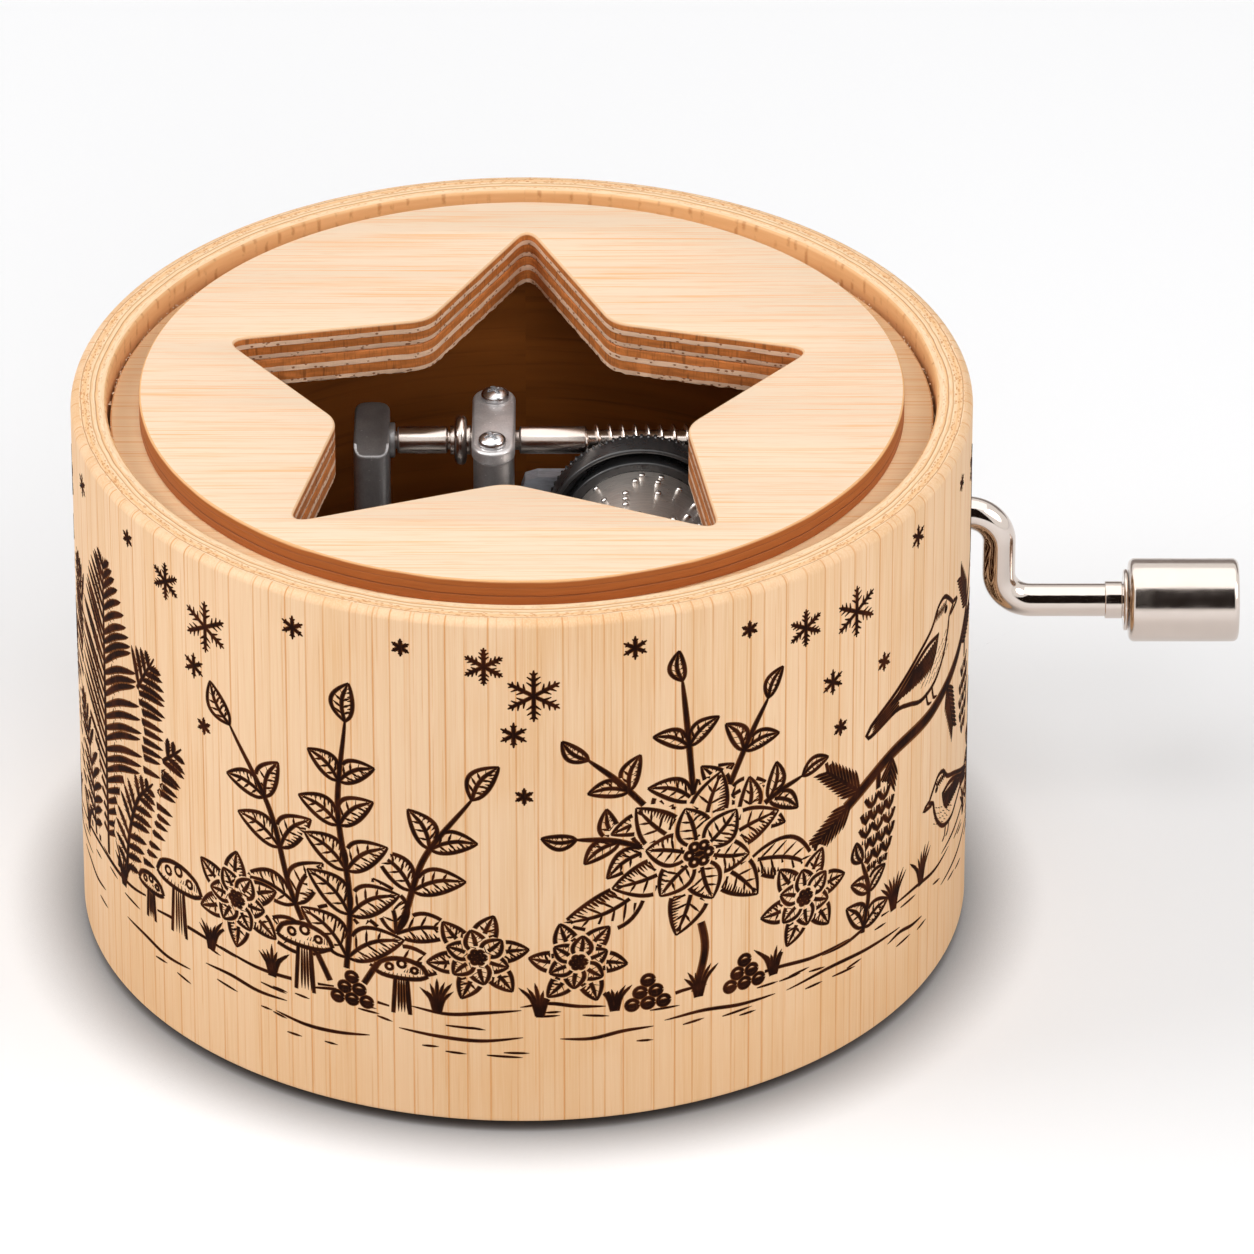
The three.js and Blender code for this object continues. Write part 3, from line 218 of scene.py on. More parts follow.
def soften_ring(corners, amounts, steps=6):
    """A closed outline with its corners rounded by amounts in turn."""
    outline = []
    count = len(corners)
    for index, corner in enumerate(corners):
        around = [corners[index - 1], corner, corners[(index + 1) % count]]
        outline.extend(soften(around, amounts[index % len(amounts)], steps)[1:-1])
    return outline


def inset(outline, amount):
    """A closed outline, drawn anticlockwise, moved inwards."""
    moved = []
    count = len(outline)
    for index in range(count):
        ahead = Vector(outline[(index + 1) % count]) - Vector(outline[index])
        back = Vector(outline[index]) - Vector(outline[index - 1])
        along = ahead.normalized() + back.normalized()
        inward = Vector((-along.y, along.x)).normalized()
        stretch = max(0.5, inward.dot(Vector((-ahead.y, ahead.x)).normalized()))
        moved.append(tuple(Vector(outline[index]) + inward * amount / stretch))
    return moved


def ring_outline(radius, sides):
    return [(radius * cos(TURN * i / sides), radius * sin(TURN * i / sides)) for i in range(sides)]


def bar_outline(width, length, sides):
    """A bar with half round ends, long along Y."""
    radius = width / 2
    reach = length / 2 - radius
    outline = []
    for end in (1, -1):
        for step in range(sides + 1):
            angle = pi * step / sides
            outline.append((end * radius * cos(angle), end * (reach + radius * sin(angle))))
    return outline


def arc(x, y, radius, start, end, steps):
    """Points of a round from one angle to another, in degrees."""
    turns = [radians(start + (end - start) * step / steps) for step in range(steps + 1)]
    return [(x + radius * cos(turn), y + radius * sin(turn)) for turn in turns]


def rounded_rows(low, high, bottom, top, bottom_steps, top_steps):
    """How far each row of a side with rounded edges lies inwards, and its height."""
    rows = arc(bottom, low + bottom, bottom, 270, 180, bottom_steps)
    return rows + arc(top, high - top, top, 180, 90, top_steps)


class Shape:
    """Points, faces and finishes of one piece while it is put together, in millimetres."""

    def __init__(self):
        self.points = []
        self.faces = []
        self.finishes = []

    def add(self, points, faces, finish=0, place=None):
        start = len(self.points)
        turn = place or Matrix.Identity(4)
        self.points.extend(turn @ Vector(point) for point in points)
        self.faces.extend([start + corner for corner in face] for face in faces)
        self.finishes.extend(finish if isinstance(finish, list) else [finish] * len(faces))
        return self

    def lathe(self, profile, sides, place=None, finish=0):
        """A turned piece. A profile of (radius, height) that ends where it starts is a ring."""
        points, rings = [], []
        closed = profile[0] == profile[-1]
        for radius, height in profile[:-1] if closed else profile:
            if radius <= 0:
                rings.append([len(points)] * sides)
                points.append((0, 0, height))
                continue
            rings.append(list(range(len(points), len(points) + sides)))
            points.extend((x, y, height) for x, y in ring_outline(radius, sides))
        if closed:
            rings.append(rings[0])
        faces, finishes = [], []
        for row, (low, high) in enumerate(zip(rings, rings[1:])):
            for side in range(sides):
                after = (side + 1) % sides
                corners = list(dict.fromkeys([low[side], low[after], high[after], high[side]]))
                if len(corners) > 2:
                    faces.append(corners)
                    finishes.append(finish(row) if callable(finish) else finish)
        return self.add(points, faces, finishes, place)

    def loft(self, layers, place=None, closed=False, capped=True, finish=0):
        """Skins rows of points of one count. It closes on itself, is capped at its ends or stays open."""
        count = len(layers[0])
        points = [point for layer in layers for point in layer]
        faces = []
        rows = len(layers) if closed else len(layers) - 1
        for row in range(rows):
            low, high = row * count, (row + 1) % len(layers) * count
            for side in range(count):
                after = (side + 1) % count
                faces.append([low + side, low + after, high + after, high + side])
        if capped and not closed:
            faces.append(list(range(count))[::-1])
            faces.append(list(range((len(layers) - 1) * count, len(layers) * count)))
        return self.add(points, faces, finish, place)

    def prism(self, outline, low, high, edge, steps=3, low_edge=None):
        """An outline pulled up from low to high, its edges rounded."""
        rows = rounded_rows(low, high, low_edge or edge, edge, steps, steps)
        layers = [[(x, y, height) for x, y in inset(outline, amount)] for amount, height in rows]
        return self.loft(layers)

    def tube(self, path, radius, sides):
        """A round bar along a path that lies in a plane of constant y."""
        layers = []
        for index, point in enumerate(path):
            before = Vector(path[max(index - 1, 0)])
            after = Vector(path[min(index + 1, len(path) - 1)])
            along = (after - before).normalized()
            across = Vector((0, 1, 0))
            up = along.cross(across)
            ring = ring_outline(radius, sides)
            layers.append([Vector(point) + across * x + up * y for x, y in ring])
        return self.loft(layers)

    def mesh(self, name, finishes, sharp=SHARP_ANGLE):
        mesh = bpy.data.meshes.new(name)
        mesh.from_pydata([point * MM for point in self.points], [], self.faces)
        for finish in finishes:
            mesh.materials.append(finish)
        mesh.polygons.foreach_set("material_index", self.finishes)
        work = bmesh.new()
        work.from_mesh(mesh)
        bmesh.ops.recalc_face_normals(work, faces=work.faces)
        work.to_mesh(mesh)
        work.free()
        mesh.shade_smooth()
        mesh.set_sharp_from_angle(angle=sharp)
        return mesh

    def make(self, name, finishes, body, slot, stands_for=(), sharp=SHARP_ANGLE):
        """Puts the piece in the scene, on the body that it rides on."""
        made = placed(name, self.mesh(name, finishes, sharp))
        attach(made, body)
        if stands_for:
            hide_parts(*stands_for)
        return made


def dress(nodes, finish, bevel=0.0):
    """Gives solids that are shown as they are their finish, with their sharp edges broken a little."""
    for name in nodes:
        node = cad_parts[name]
        node.data.materials.clear()
        node.data.materials.append(finish)
        if bevel:
            edge = node.modifiers.new("broken_edges", "BEVEL")
            edge.width = bevel * MM
            edge.segments = 2
            edge.limit_method = "ANGLE"
            edge.angle_limit = radians(40)
            edge.harden_normals = False


class Graph:
    """A node tree while it is put together."""

    def __init__(self, tree):
        self.nodes = tree.nodes
        self.links = tree.links

    def node(self, kind, *values, **settings):
        made = self.nodes.new("ShaderNode" + kind)
        for word, value in settings.items():
            setattr(made, word, value)
        for index, value in enumerate(values):
            self.give(made.inputs[index], value)
        return made

    def give(self, socket, value):
        if isinstance(value, bpy.types.NodeSocket):
            self.links.new(value, socket)
        else:
            socket.default_value = value

    def fill(self, made, **values):
        """Sets sockets by their names."""
        for word, value in values.items():
            self.give(made.inputs[word], value)

    def maths(self, operation, *values):
        return self.node("Math", *values, operation=operation).outputs[0]

    def plus(self, first, second):
        return self.maths("ADD", first, second)

    def minus(self, first, second):
        return self.maths("SUBTRACT", first, second)

    def times(self, first, second):
        return self.maths("MULTIPLY", first, second)

    def blend(self, share, first, second):
        made = self.node("Mix", data_type="RGBA")
        self.give(made.inputs[0], share)
        for socket, value in ((made.inputs[6], first), (made.inputs[7], second)):
            self.give(socket, value if isinstance(value, bpy.types.NodeSocket) else (*value, 1))
        return made.outputs[2]


class Finish(Graph):
    """A finish of the box while it is put together. Its place is in millimetres."""

    SOCKETS = {
        "colour": "Base Color",
        "metal": "Metallic",
        "roughness": "Roughness",
        "gloss": "Specular IOR Level",
        "sheen": "Sheen Weight",
    }

    def __init__(self, name, **shader):
        self.material = bpy.data.materials.new(name)
        self.material.use_nodes = True
        super().__init__(self.material.node_tree)
        self.shader = self.nodes["Principled BSDF"]
        for word, value in shader.items():
            self.feed(word, value)
        self.place = self.scaled(self.node("TexCoord").outputs["Object"], (1 / MM, 1 / MM, 1 / MM))

    def feed(self, word, value):
        self.give(self.shader.inputs[self.SOCKETS[word]], value)

    def scaled(self, vector, scale):
        return self.node("VectorMath", vector, scale, operation="MULTIPLY").outputs[0]

    def stretched(self, place):
        """The piece's own place times a scale for each axis, or a vector as it is."""
        return self.scaled(self.place, place) if isinstance(place, tuple) else place

    def parts(self):
        return self.node("SeparateXYZ", self.place).outputs

    def joined(self, *parts):
        return self.node("CombineXYZ", *parts).outputs[0]

    def distance(self, first, second):
        squares = [self.maths("POWER", part, 2.0) for part in (first, second)]
        return self.maths("SQRT", self.plus(*squares))

    def round_place(self, radius):
        """Way round at a radius, distance from the drum's axis, and height."""
        x, y, z = self.parts()
        angle = self.maths("ARCTAN2", x, self.times(y, -1.0))
        return self.times(angle, radius), self.distance(x, y), z

    def noise(self, place, detail=3.0, roughness=0.5, distortion=0.0):
        made = self.node("TexNoise", self.stretched(place))
        self.fill(made, Scale=1.0, Detail=detail, Roughness=roughness, Distortion=distortion)
        return made.outputs[0]

    def cells(self, place):
        """Distance from the nearest of many scattered points."""
        made = self.node("TexVoronoi", self.stretched(place))
        self.fill(made, Scale=1.0)
        return made.outputs["Distance"]

    def lines(self, way, spacing):
        """Distance from the nearest of a row of unevenly spaced lines."""
        made = self.node("TexVoronoi", voronoi_dimensions="1D", feature="DISTANCE_TO_EDGE")
        self.fill(made, W=self.maths("DIVIDE", way, spacing), Scale=1.0)
        return self.times(made.outputs["Distance"], spacing)

    def span(self, value, low, high, start=0.0, end=1.0):
        """Eases from start to end while the value goes from low to high."""
        return self.node("MapRange", value, low, high, start, end, interpolation_type="SMOOTHSTEP").outputs[0]

    def tint(self, where, colour, other):
        """A colour that eases into another. where holds a value, its low and high, and how far it goes."""
        value, low, high, most = (*where, 1.0)[:4]
        return self.blend(self.span(value, low, high, 0.0, most), colour, other)

    def ramp(self, value, stops):
        """Colours by value, which goes from 0 to 1."""
        made = self.node("ValToRGB", value)
        elements = made.color_ramp.elements
        for index, (position, colour) in enumerate(stops):
            element = elements[index] if index < 2 else elements.new(position)
            element.position = position
            element.color = (*colour, 1)
        return made.outputs[0]

    def bump(self, height, depth, strength=1.0):
        """Adds relief of a depth in millimetres to what the shader has already."""
        made = self.node("Bump")
        self.fill(made, Strength=strength, Distance=depth * MM, Height=height)
        taken = self.shader.inputs["Normal"]
        if taken.is_linked:
            self.fill(made, Normal=taken.links[0].from_socket)
        self.links.new(made.outputs[0], taken)


def darker(colour, share):
    return tuple(part * share for part in colour)


def side_wood(looks, radius):
    """Pale laminated strips with upright grain and thin orange lines that notch the rim's rounding, with
    painted shade that darkens the side towards its foot.
    """
    made = Finish("side_wood", roughness=0.58, gloss=0.25)
    way, _, height = made.round_place(radius)
    grain = made.noise((2.2, 2.2, 0.03), 4.0, 0.6)
    hair = made.noise((7.5, 7.5, 0.14), 2.0)
    broad = made.noise((0.3, 0.3, 0.015), 2.0)
    cloud = made.noise((0.08, 0.08, 0.05), 3.0)
    base = made.tint((broad, 0.35, 0.7), looks.side, (0.84, 0.53, 0.29))
    warm = made.tint((cloud, 0.45, 0.75, 0.5), base, (0.82, 0.46, 0.2))
    streaked = made.tint((grain, 0.5, 0.8, 0.34), warm, (0.7, 0.34, 0.12))
    haired = made.tint((hair, 0.4, 0.7, 0.3), streaked, (0.96, 0.73, 0.48))
    strip = looks.strip / MM
    gap = made.lines(way, strip)
    wander = made.noise(made.joined(made.times(way, 0.4), made.times(height, 0.04), 0.0))
    line = made.span(gap, 0.03, 0.1, 1.0, 0.0)
    strong = made.times(line, made.span(wander, 0.3, 0.62, 0.25, 0.95))
    fine_gap = made.lines(made.plus(way, 51.0), strip * 0.5)
    fine_line = made.span(fine_gap, 0.015, 0.08, 0.45, 0.0)
    broken = made.noise(made.joined(made.times(way, 1.1), made.times(height, 0.09), 5.0))
    faint = made.times(fine_line, made.span(broken, 0.42, 0.62))
    groove = made.maths("MAXIMUM", strong, faint)
    # Painted shade: the side blends into a darker warm tone near its foot, 0.4 of the way at the bottom and
    # gone 22 mm up.
    foot_painted_shade = made.blend(made.span(height, 2.0, 22.0, 0.4, 0.0), haired, (0.78, 0.46, 0.22))
    made.feed("colour", made.blend(groove, foot_painted_shade, looks.side_line))
    made.bump(made.minus(1.0, groove), 0.04)
    made.bump(grain, 0.025, 0.5)
    return made.material


def rim_wood(inner, outer):
    """End of the bent plies on the rim: pale rings, rows of long pores and thin glue lines."""
    made = Finish("rim_wood", roughness=0.6, gloss=0.3)
    way, away, _ = made.round_place(outer)
    wobble = made.noise(made.joined(made.times(way, 0.16), 0.0, 0.0), 4.0)
    shifted = made.plus(away, made.span(wobble, 0.2, 0.8, -0.11, 0.11))
    share = made.node("MapRange", shifted, inner, outer, 0.0, 1.0).outputs[0]
    pale = (0.95, 0.66, 0.4)
    cream = (0.95, 0.74, 0.5)
    warm = (0.9, 0.56, 0.28)
    glue = (0.5, 0.18, 0.045)
    light_glue = (0.62, 0.3, 0.11)
    rings = made.ramp(share, [
        (0.0, (0.86, 0.5, 0.24)), (0.08, pale), (0.2, cream), (0.29, warm), (0.315, glue), (0.345, cream),
        (0.42, pale), (0.455, light_glue), (0.48, cream), (0.62, warm), (0.7, pale), (0.722, glue),
        (0.75, cream), (0.86, warm), (0.9, cream), (1.0, cream),
    ])
    stretch = made.times(way, 2.1)
    pores = made.cells(made.joined(stretch, made.times(away, 5.0), 0.0))
    near = made.span(pores, 0.28, 0.42, 1.0, 0.0)
    patch = made.noise(made.joined(made.times(way, 0.3), made.times(away, 1.4), 3.0))
    dots = made.times(near, made.span(patch, 0.28, 0.46, 0.0, 0.9))
    dense = ((0.0, 0), (0.14, 0), (0.2, 0.6), (0.3, 0), (0.46, 0), (0.52, 1), (0.7, 0.8), (0.73, 0.3),
             (0.78, 1), (0.9, 0.9), (0.95, 0))
    banded = made.times(dots, made.ramp(share, [(at, (grey, grey, grey)) for at, grey in dense]))
    streak = made.noise(made.joined(made.times(way, 0.6), made.times(away, 7.0), 0.0),
                        4.0)
    stained = made.tint((streak, 0.42, 0.72, 0.6), rings, (0.82, 0.45, 0.19))
    made.feed("colour", made.blend(banded, stained, (0.7, 0.29, 0.09)))
    made.bump(made.minus(1.0, banded), 0.03)
    made.bump(streak, 0.05, 0.5)
    return made.material


def inner_edge_wood(radius):
    """Inner face of the wall above the lid's ledge: smooth warm wood with a few short upright ticks."""
    made = Finish("inner_edge_wood", roughness=0.55, gloss=0.35)
    way, _, height = made.round_place(radius)
    ticks = made.lines(way, 1.5)
    blur = made.noise(made.joined(made.times(way, 0.9), made.times(height, 0.8), 0.0))
    mask = made.times(made.span(ticks, 0.06, 0.3, 1.0, 0.0), made.span(blur, 0.45, 0.65, 0.0, 0.6))
    shade = made.noise(made.joined(made.times(way, 0.2), made.times(height, 2.2), 0.0),
                       4.0)
    base = made.blend(shade, (0.9, 0.54, 0.26), (0.76, 0.4, 0.16))
    made.feed("colour", made.blend(mask, base, (0.5, 0.2, 0.06)))
    made.bump(made.minus(1.0, mask), 0.05)
    return made.material


def lid_wood(name, base, streak):
    """A plywood face with its grain along X: long fine streaks, a few of them darker."""
    made = Finish(name, roughness=0.55, gloss=0.25)
    grain = made.noise((0.04, 1.5, 0.4), 5.0, 0.62, distortion=0.2)
    fine = made.noise((0.045, 5.4, 0.4), 2.0)
    broad = made.noise((0.012, 0.22, 0.1), 2.0)
    flecks = made.noise((0.25, 7.5, 0.4), 2.0)
    toned = made.tint((broad, 0.3, 0.72), base, darker(base, 0.95))
    streaked = made.tint((grain, 0.48, 0.78, 0.85), toned, streak)
    lined = made.tint((fine, 0.56, 0.66, 0.9), streaked, streak)
    lit = made.tint((flecks, 0.58, 0.72, 0.45), lined, darker(streak, 0.92))
    made.feed("colour", lit)
    made.bump(grain, 0.016, 0.5)
    made.bump(flecks, 0.01, 0.4)
    return made.material


def ply_stack(looks, name, top, ply, skin):
    """Edges of a stack of plies by height: brown and pale in turn, with pores and short dark ticks."""
    made = Finish(name, roughness=0.6, gloss=0.25)
    z = made.parts()[2]
    wave = made.noise((0.35, 0.35, 0.0), 2.0)
    below = made.minus(top, z)
    depth = made.plus(below, made.span(wave, 0.2, 0.8, -0.05, 0.05))
    pair = made.maths("FRACT", made.maths("DIVIDE", depth, 2.0 * ply))
    pale = made.times(made.span(pair, 0.58, 0.62), made.span(pair, 0.95, 0.99, 1.0, 0.0))
    ticks = made.noise((2.6, 2.6, 0.3), 3.0, 0.4)
    clouds = made.noise((0.5, 0.5, 2.6), 4.0)
    fibre = made.noise((5.5, 5.5, 0.8), 2.0)
    brown = made.tint((clouds, 0.35, 0.7), looks.brown_ply, darker(looks.brown_ply, 1.45))
    browned = made.tint((fibre, 0.5, 0.7, 0.45), brown, darker(looks.brown_ply, 0.62))
    ticked = made.tint((ticks, 0.6, 0.7, 0.7), browned, darker(looks.brown_ply, 0.5))
    light = made.tint((clouds, 0.35, 0.75), looks.pale_ply, darker(looks.pale_ply, 0.78))
    stack = made.blend(made.times(pale, 0.95), ticked, light)
    pores = made.cells((1.75, 1.75, 2.4))
    spots = made.times(made.span(pores, 0.17, 0.33, 0.85, 0.0), pale)
    seam = made.span(made.maths("ABSOLUTE", made.minus(pair, 0.59)), 0.0, 0.04, 0.3, 0.0)
    seamed = made.blend(seam, stack, darker(looks.brown_ply, 0.45))
    spotted = made.blend(spots, seamed, (0.26, 0.08, 0.02))
    if skin:
        made.feed("colour", made.blend(made.span(below, 0.1, 0.28, 0.85, 0.0), spotted, (0.93, 0.62, 0.36)))
    else:
        made.feed("colour", spotted)
    made.bump(made.minus(1.0, spots), 0.08)
    made.bump(pale, 0.05, 0.7)
    made.bump(fibre, 0.05, 0.5)
    return made.material


def disc_edge_wood(bottom):
    """Sawn edge of the upper disc: warm brown with dark creases round it and fine sawn grain."""
    made = Finish("disc_edge_wood", roughness=0.55, gloss=0.35)
    z = made.parts()[2]
    grain = made.noise((0.2, 0.2, 5.5), 5.0)
    wave = made.noise((0.12, 0.12, 0.0), 2.0)
    base = made.blend(grain, (0.47, 0.15, 0.036), (0.31, 0.088, 0.018))
    up = made.plus(made.minus(z, bottom), made.span(wave, 0.2, 0.8, -0.1, 0.1))
    low_crease = made.span(made.maths("ABSOLUTE", made.minus(up, 0.95)), 0.02, 0.1, 0.7, 0.0)
    high_crease = made.span(made.maths("ABSOLUTE", made.minus(up, 1.75)), 0.01, 0.06, 0.3, 0.0)
    crease = made.maths("MAXIMUM", low_crease, high_crease)
    creased = made.blend(crease, base, (0.2, 0.055, 0.012))
    top = made.span(up, 2.2, 2.42, 0.0, 0.9)
    made.feed("colour", made.blend(top, creased, (0.88, 0.5, 0.22)))
    made.bump(made.minus(1.0, crease), 0.08)
    made.bump(grain, 0.04, 0.6)
    return made.material


def stained_wood(looks, radius):
    """Dark lining with level grain: partly real stain, partly painted shade for the dim inside of the drum.
    """
    made = Finish("stained_wood", roughness=0.6, gloss=0.25)
    way, away, height = made.round_place(radius)
    level = made.joined(made.times(way, 0.05), made.times(height, 1.3), away)
    grain = made.noise(level, 5.0, 0.6)
    slow = made.noise(made.joined(made.times(way, 0.03), made.times(height, 0.3), 0.0))
    toned = made.tint((slow, 0.3, 0.7), looks.stain, darker(looks.stain, 1.35))
    made.feed("colour", made.tint((grain, 0.5, 0.78, 0.6), toned, darker(looks.stain, 0.45)))
    made.bump(grain, 0.04, 0.6)
    return made.material


def burnt_wood(looks):
    """Burnt strokes: nearly black in the core, brown at the edges, redder where the beam ran fast."""
    made = Finish("burnt_wood", roughness=0.9, gloss=0.08)
    core = made.node("Attribute", attribute_name="burn").outputs["Fac"]
    speed = made.noise((0.45, 0.45, 0.45), 3.0)
    grit = made.noise((5.0, 5.0, 1.2), 2.0)
    deep = made.tint((speed, 0.42, 0.7), looks.burn, (0.045, 0.01, 0.003))
    body = made.tint((grit, 0.55, 0.75, 0.3), deep, (0.09, 0.024, 0.007))
    made.feed("colour", made.tint((core, 0.0, 0.5), looks.scorch, body))
    made.bump(grit, 0.03, 0.6)
    return made.material


def felt_finish():
    """Dense dark felt under the base."""
    made = Finish("felt", roughness=0.95, gloss=0.1, sheen=0.3)
    fibre = made.noise((2.2, 2.2, 2.2), 6.0, 0.75)
    made.feed("colour", made.blend(fibre, (0.02, 0.018, 0.016), (0.05, 0.045, 0.04)))
    made.bump(fibre, 0.12)
    return made.material


def polished(name, colour, roughness=0.1, wear=0.08):
    """Polished plating with a faint haze and hair scratches."""
    made = Finish(name, metal=1.0)
    haze = made.noise((0.5, 0.5, 0.5), 3.0)
    scratch = made.noise((0.9, 9.0, 9.0), 2.0, distortion=0.4)
    made.feed("colour", made.blend(haze, colour, darker(colour, 0.93)))
    worn = made.plus(made.times(haze, 0.7), made.times(scratch, 0.3))
    made.feed("roughness", made.span(worn, 0.35, 0.7, roughness, roughness + wear))
    made.bump(scratch, 0.002, 0.4)
    return made.material


def brushed(name, colour, scale, roughness=0.3, relief=0.012, metal=1.0):
    """Metal brushed one way: scale is how fast the brush marks change along X, Y and Z."""
    made = Finish(name, metal=metal)
    marks = made.noise(scale, 4.0, 0.6)
    haze = made.noise((0.25, 0.25, 0.25), 2.0)
    shade = made.tint((marks, 0.3, 0.75), colour, darker(colour, 0.66))
    made.feed("colour", made.tint((haze, 0.3, 0.7, 0.35), shade, darker(colour, 0.82)))
    made.feed("roughness", made.span(marks, 0.25, 0.75, roughness - 0.06, roughness + 0.1))
    made.bump(marks, relief, 0.6)
    return made.material


def cast_finish(name, colour):
    """Satin grey casting with a fine sand grain and worn light flecks."""
    made = Finish(name, metal=0.7, gloss=0.6)
    sand = made.noise((6.5, 6.5, 6.5), 4.0, 0.7)
    patch = made.noise((0.5, 0.5, 0.5), 3.0)
    flecks = made.cells((1.1, 1.9, 1.9))
    toned = made.tint((patch, 0.35, 0.7), colour, darker(colour, 1.25))
    grained = made.tint((sand, 0.3, 0.7, 0.35), toned, darker(colour, 0.65))
    made.feed("colour", made.blend(made.span(flecks, 0.05, 0.12, 0.7, 0.0), grained, darker(colour, 2.2)))
    made.feed("roughness", made.span(sand, 0.3, 0.7, 0.28, 0.44))
    made.bump(sand, 0.02, 0.6)
    made.bump(made.span(flecks, 0.05, 0.16), 0.02, 0.5)
    return made.material


def plastic_finish(colour):
    """Black moulded plastic, satin, with faint turning marks round the gear's axis."""
    made = Finish("black_plastic", gloss=1.0)
    middle = centre_mm("arbor")
    x, y, z = made.parts()
    away = made.distance(made.minus(x, middle.x), made.minus(z, middle.z))
    marks = made.noise(made.joined(made.times(away, 7.0), 0.0, made.times(y, 7.0)), 2.0)
    haze = made.noise((0.8, 0.8, 0.8), 3.0)
    made.feed("colour", made.blend(haze, colour, darker(colour, 1.8)))
    made.feed("roughness", made.span(made.plus(marks, haze), 0.7, 1.3, 0.24, 0.38))
    made.bump(marks, 0.012, 0.5)
    return made.material


class MUSIC_BOX_OT_stage(bpy.types.Operator):
    """Makes the floor, the lamps, the sky and the photograph's camera"""

    bl_idname = "music_box.stage"
    bl_label = "Studio"

    FLOOR_REACH = 4.0
    LAMPS = (
        ("front_lamp", "front", Vector((0.25, -1.0, 0.66)), 0.8, False),
        ("high_lamp", "high", Vector((0.0, -0.4, 1.15)), 0.6, True),
        ("left_lamp", "left", Vector((-1.2, -0.1, 0.8)), 0.9, True),
        ("right_lamp", "right", Vector((1.1, -0.35, 0.8)), 0.9, True),
    )
    DARK_CARD = ((0.03, -0.106, 0.035), (0.12, -0.106, 0.25))
    DARK = (0.012, 0.008, 0.006)
    GREY_CARD = ((-1.6, 1.3, -0.2), (1.6, 1.3, 0.7))
    GREY = (0.3, 0.27, 0.26)
    WHITE_CARD = ((-0.9, -0.54, 1.1), (0.9, 0.9, 1.1))
    WHITE = (1.75, 1.74, 1.72)
    # Colour of the painted contact shadow on the floor, and how fast it fades out.
    CONTACT_SHADOW = (0.06, 0.055, 0.055)
    CONTACT_SHADOW_FALL = 1.7
    SKY = (1.0, 0.995, 0.985, 1)

    def execute(self, context):
        looks = context.scene.music_box_studio
        context.scene.view_settings.view_transform = "Standard"
        self.floor(looks)
        self.sky(context, looks)
        for name, word, place, size, mirrored in self.LAMPS:
            lamp = self.lamp(name, place, size, getattr(looks, word))
            lamp.visible_glossy = mirrored
        self.card("dark_card", *self.DARK_CARD, self.DARK)
        self.card("grey_card", *self.GREY_CARD, self.GREY)
        self.card("white_card", *self.WHITE_CARD, self.WHITE)
        self.camera(context)
        return {"FINISHED"}

    def sheet(self, name, low, high):
        """A flat sheet from one corner to the other, and its material's empty node tree."""
        points = [(x, y, z) for _, y, z in (low, high) for x in (low[0], high[0])]
        mesh = bpy.data.meshes.new(name)
        mesh.from_pydata(points, [], [(0, 1, 3, 2)])
        material = bpy.data.materials.new(name)
        material.use_nodes = True
        material.node_tree.nodes.clear()
        mesh.materials.append(material)
        return placed(name, mesh), Graph(material.node_tree)

    def floor(self, looks):
        """The floor, a little paler to the eye than to the light, with a painted contact shadow, drawn from
        ambient occlusion, where the box stands on it.
        """
        reach = self.FLOOR_REACH
        floor, graph = self.sheet("floor", (-reach, -reach, 0), (reach, reach, 0))
        seen = self.seen_by_eye(graph)
        near = graph.node("AmbientOcclusion")
        graph.fill(near, Distance=looks.contact_shadow)
        clear = graph.maths("POWER", near.outputs["AO"], self.CONTACT_SHADOW_FALL)
        shaded = graph.blend(clear, self.CONTACT_SHADOW, looks.floor_seen)
        matt = graph.node("BsdfDiffuse", graph.blend(seen, looks.floor, shaded))
        glow = graph.node("Emission")
        graph.fill(glow, Strength=graph.times(graph.times(seen, looks.floor_glow), clear))
        both = graph.node("AddShader", matt.outputs[0], glow.outputs[0])
        graph.node("OutputMaterial", both.outputs[0])

    def seen_by_eye(self, graph):
        """One for camera, glossy and transmission rays, and nothing for the light on the object."""
        paths = graph.node("LightPath").outputs
        mirrored = graph.maths("MAXIMUM", paths["Is Camera Ray"], paths["Is Glossy Ray"])
        return graph.maths("MAXIMUM", mirrored, paths["Is Transmission Ray"])

    def sky(self, context, looks):
        world = bpy.data.worlds.new("studio_sky")
        context.scene.world = world
        world.use_nodes = True
        graph = Graph(world.node_tree)
        background = graph.nodes["Background"]
        strength = graph.node("MapRange", self.seen_by_eye(graph), 0.0, 1.0, looks.sky, 1.0)
        graph.fill(background, Color=self.SKY, Strength=strength.outputs[0])

    def lamp(self, name, place, size, power):
        data = bpy.data.lights.new(name, "AREA")
        data.shape = "DISK"
        data.size = size
        data.energy = power
        return aimed(placed(name, data), place, CAMERA_TARGET - place)

    def card(self, name, low, high, colour):
        """An upright or level card that only polished metal sees, as in product photographs."""
        card, graph = self.sheet(name, low, high)
        glow = graph.node("Emission", (*colour, 1))
        graph.node("OutputMaterial", glow.outputs[0])
        card.visible_camera = False
        card.visible_diffuse = False
        card.visible_transmission = False
        card.visible_shadow = False

    def camera(self, context):
        data = bpy.data.cameras.new("camera")
        data.lens = CAMERA_LENS
        data.clip_start = 0.05
        data.clip_end = 50
        back = Vector((0, -cos(CAMERA_ELEVATION), sin(CAMERA_ELEVATION)))
        camera = placed("camera", data)
        context.scene.camera = aimed(camera, CAMERA_TARGET + back * CAMERA_DISTANCE, -back)


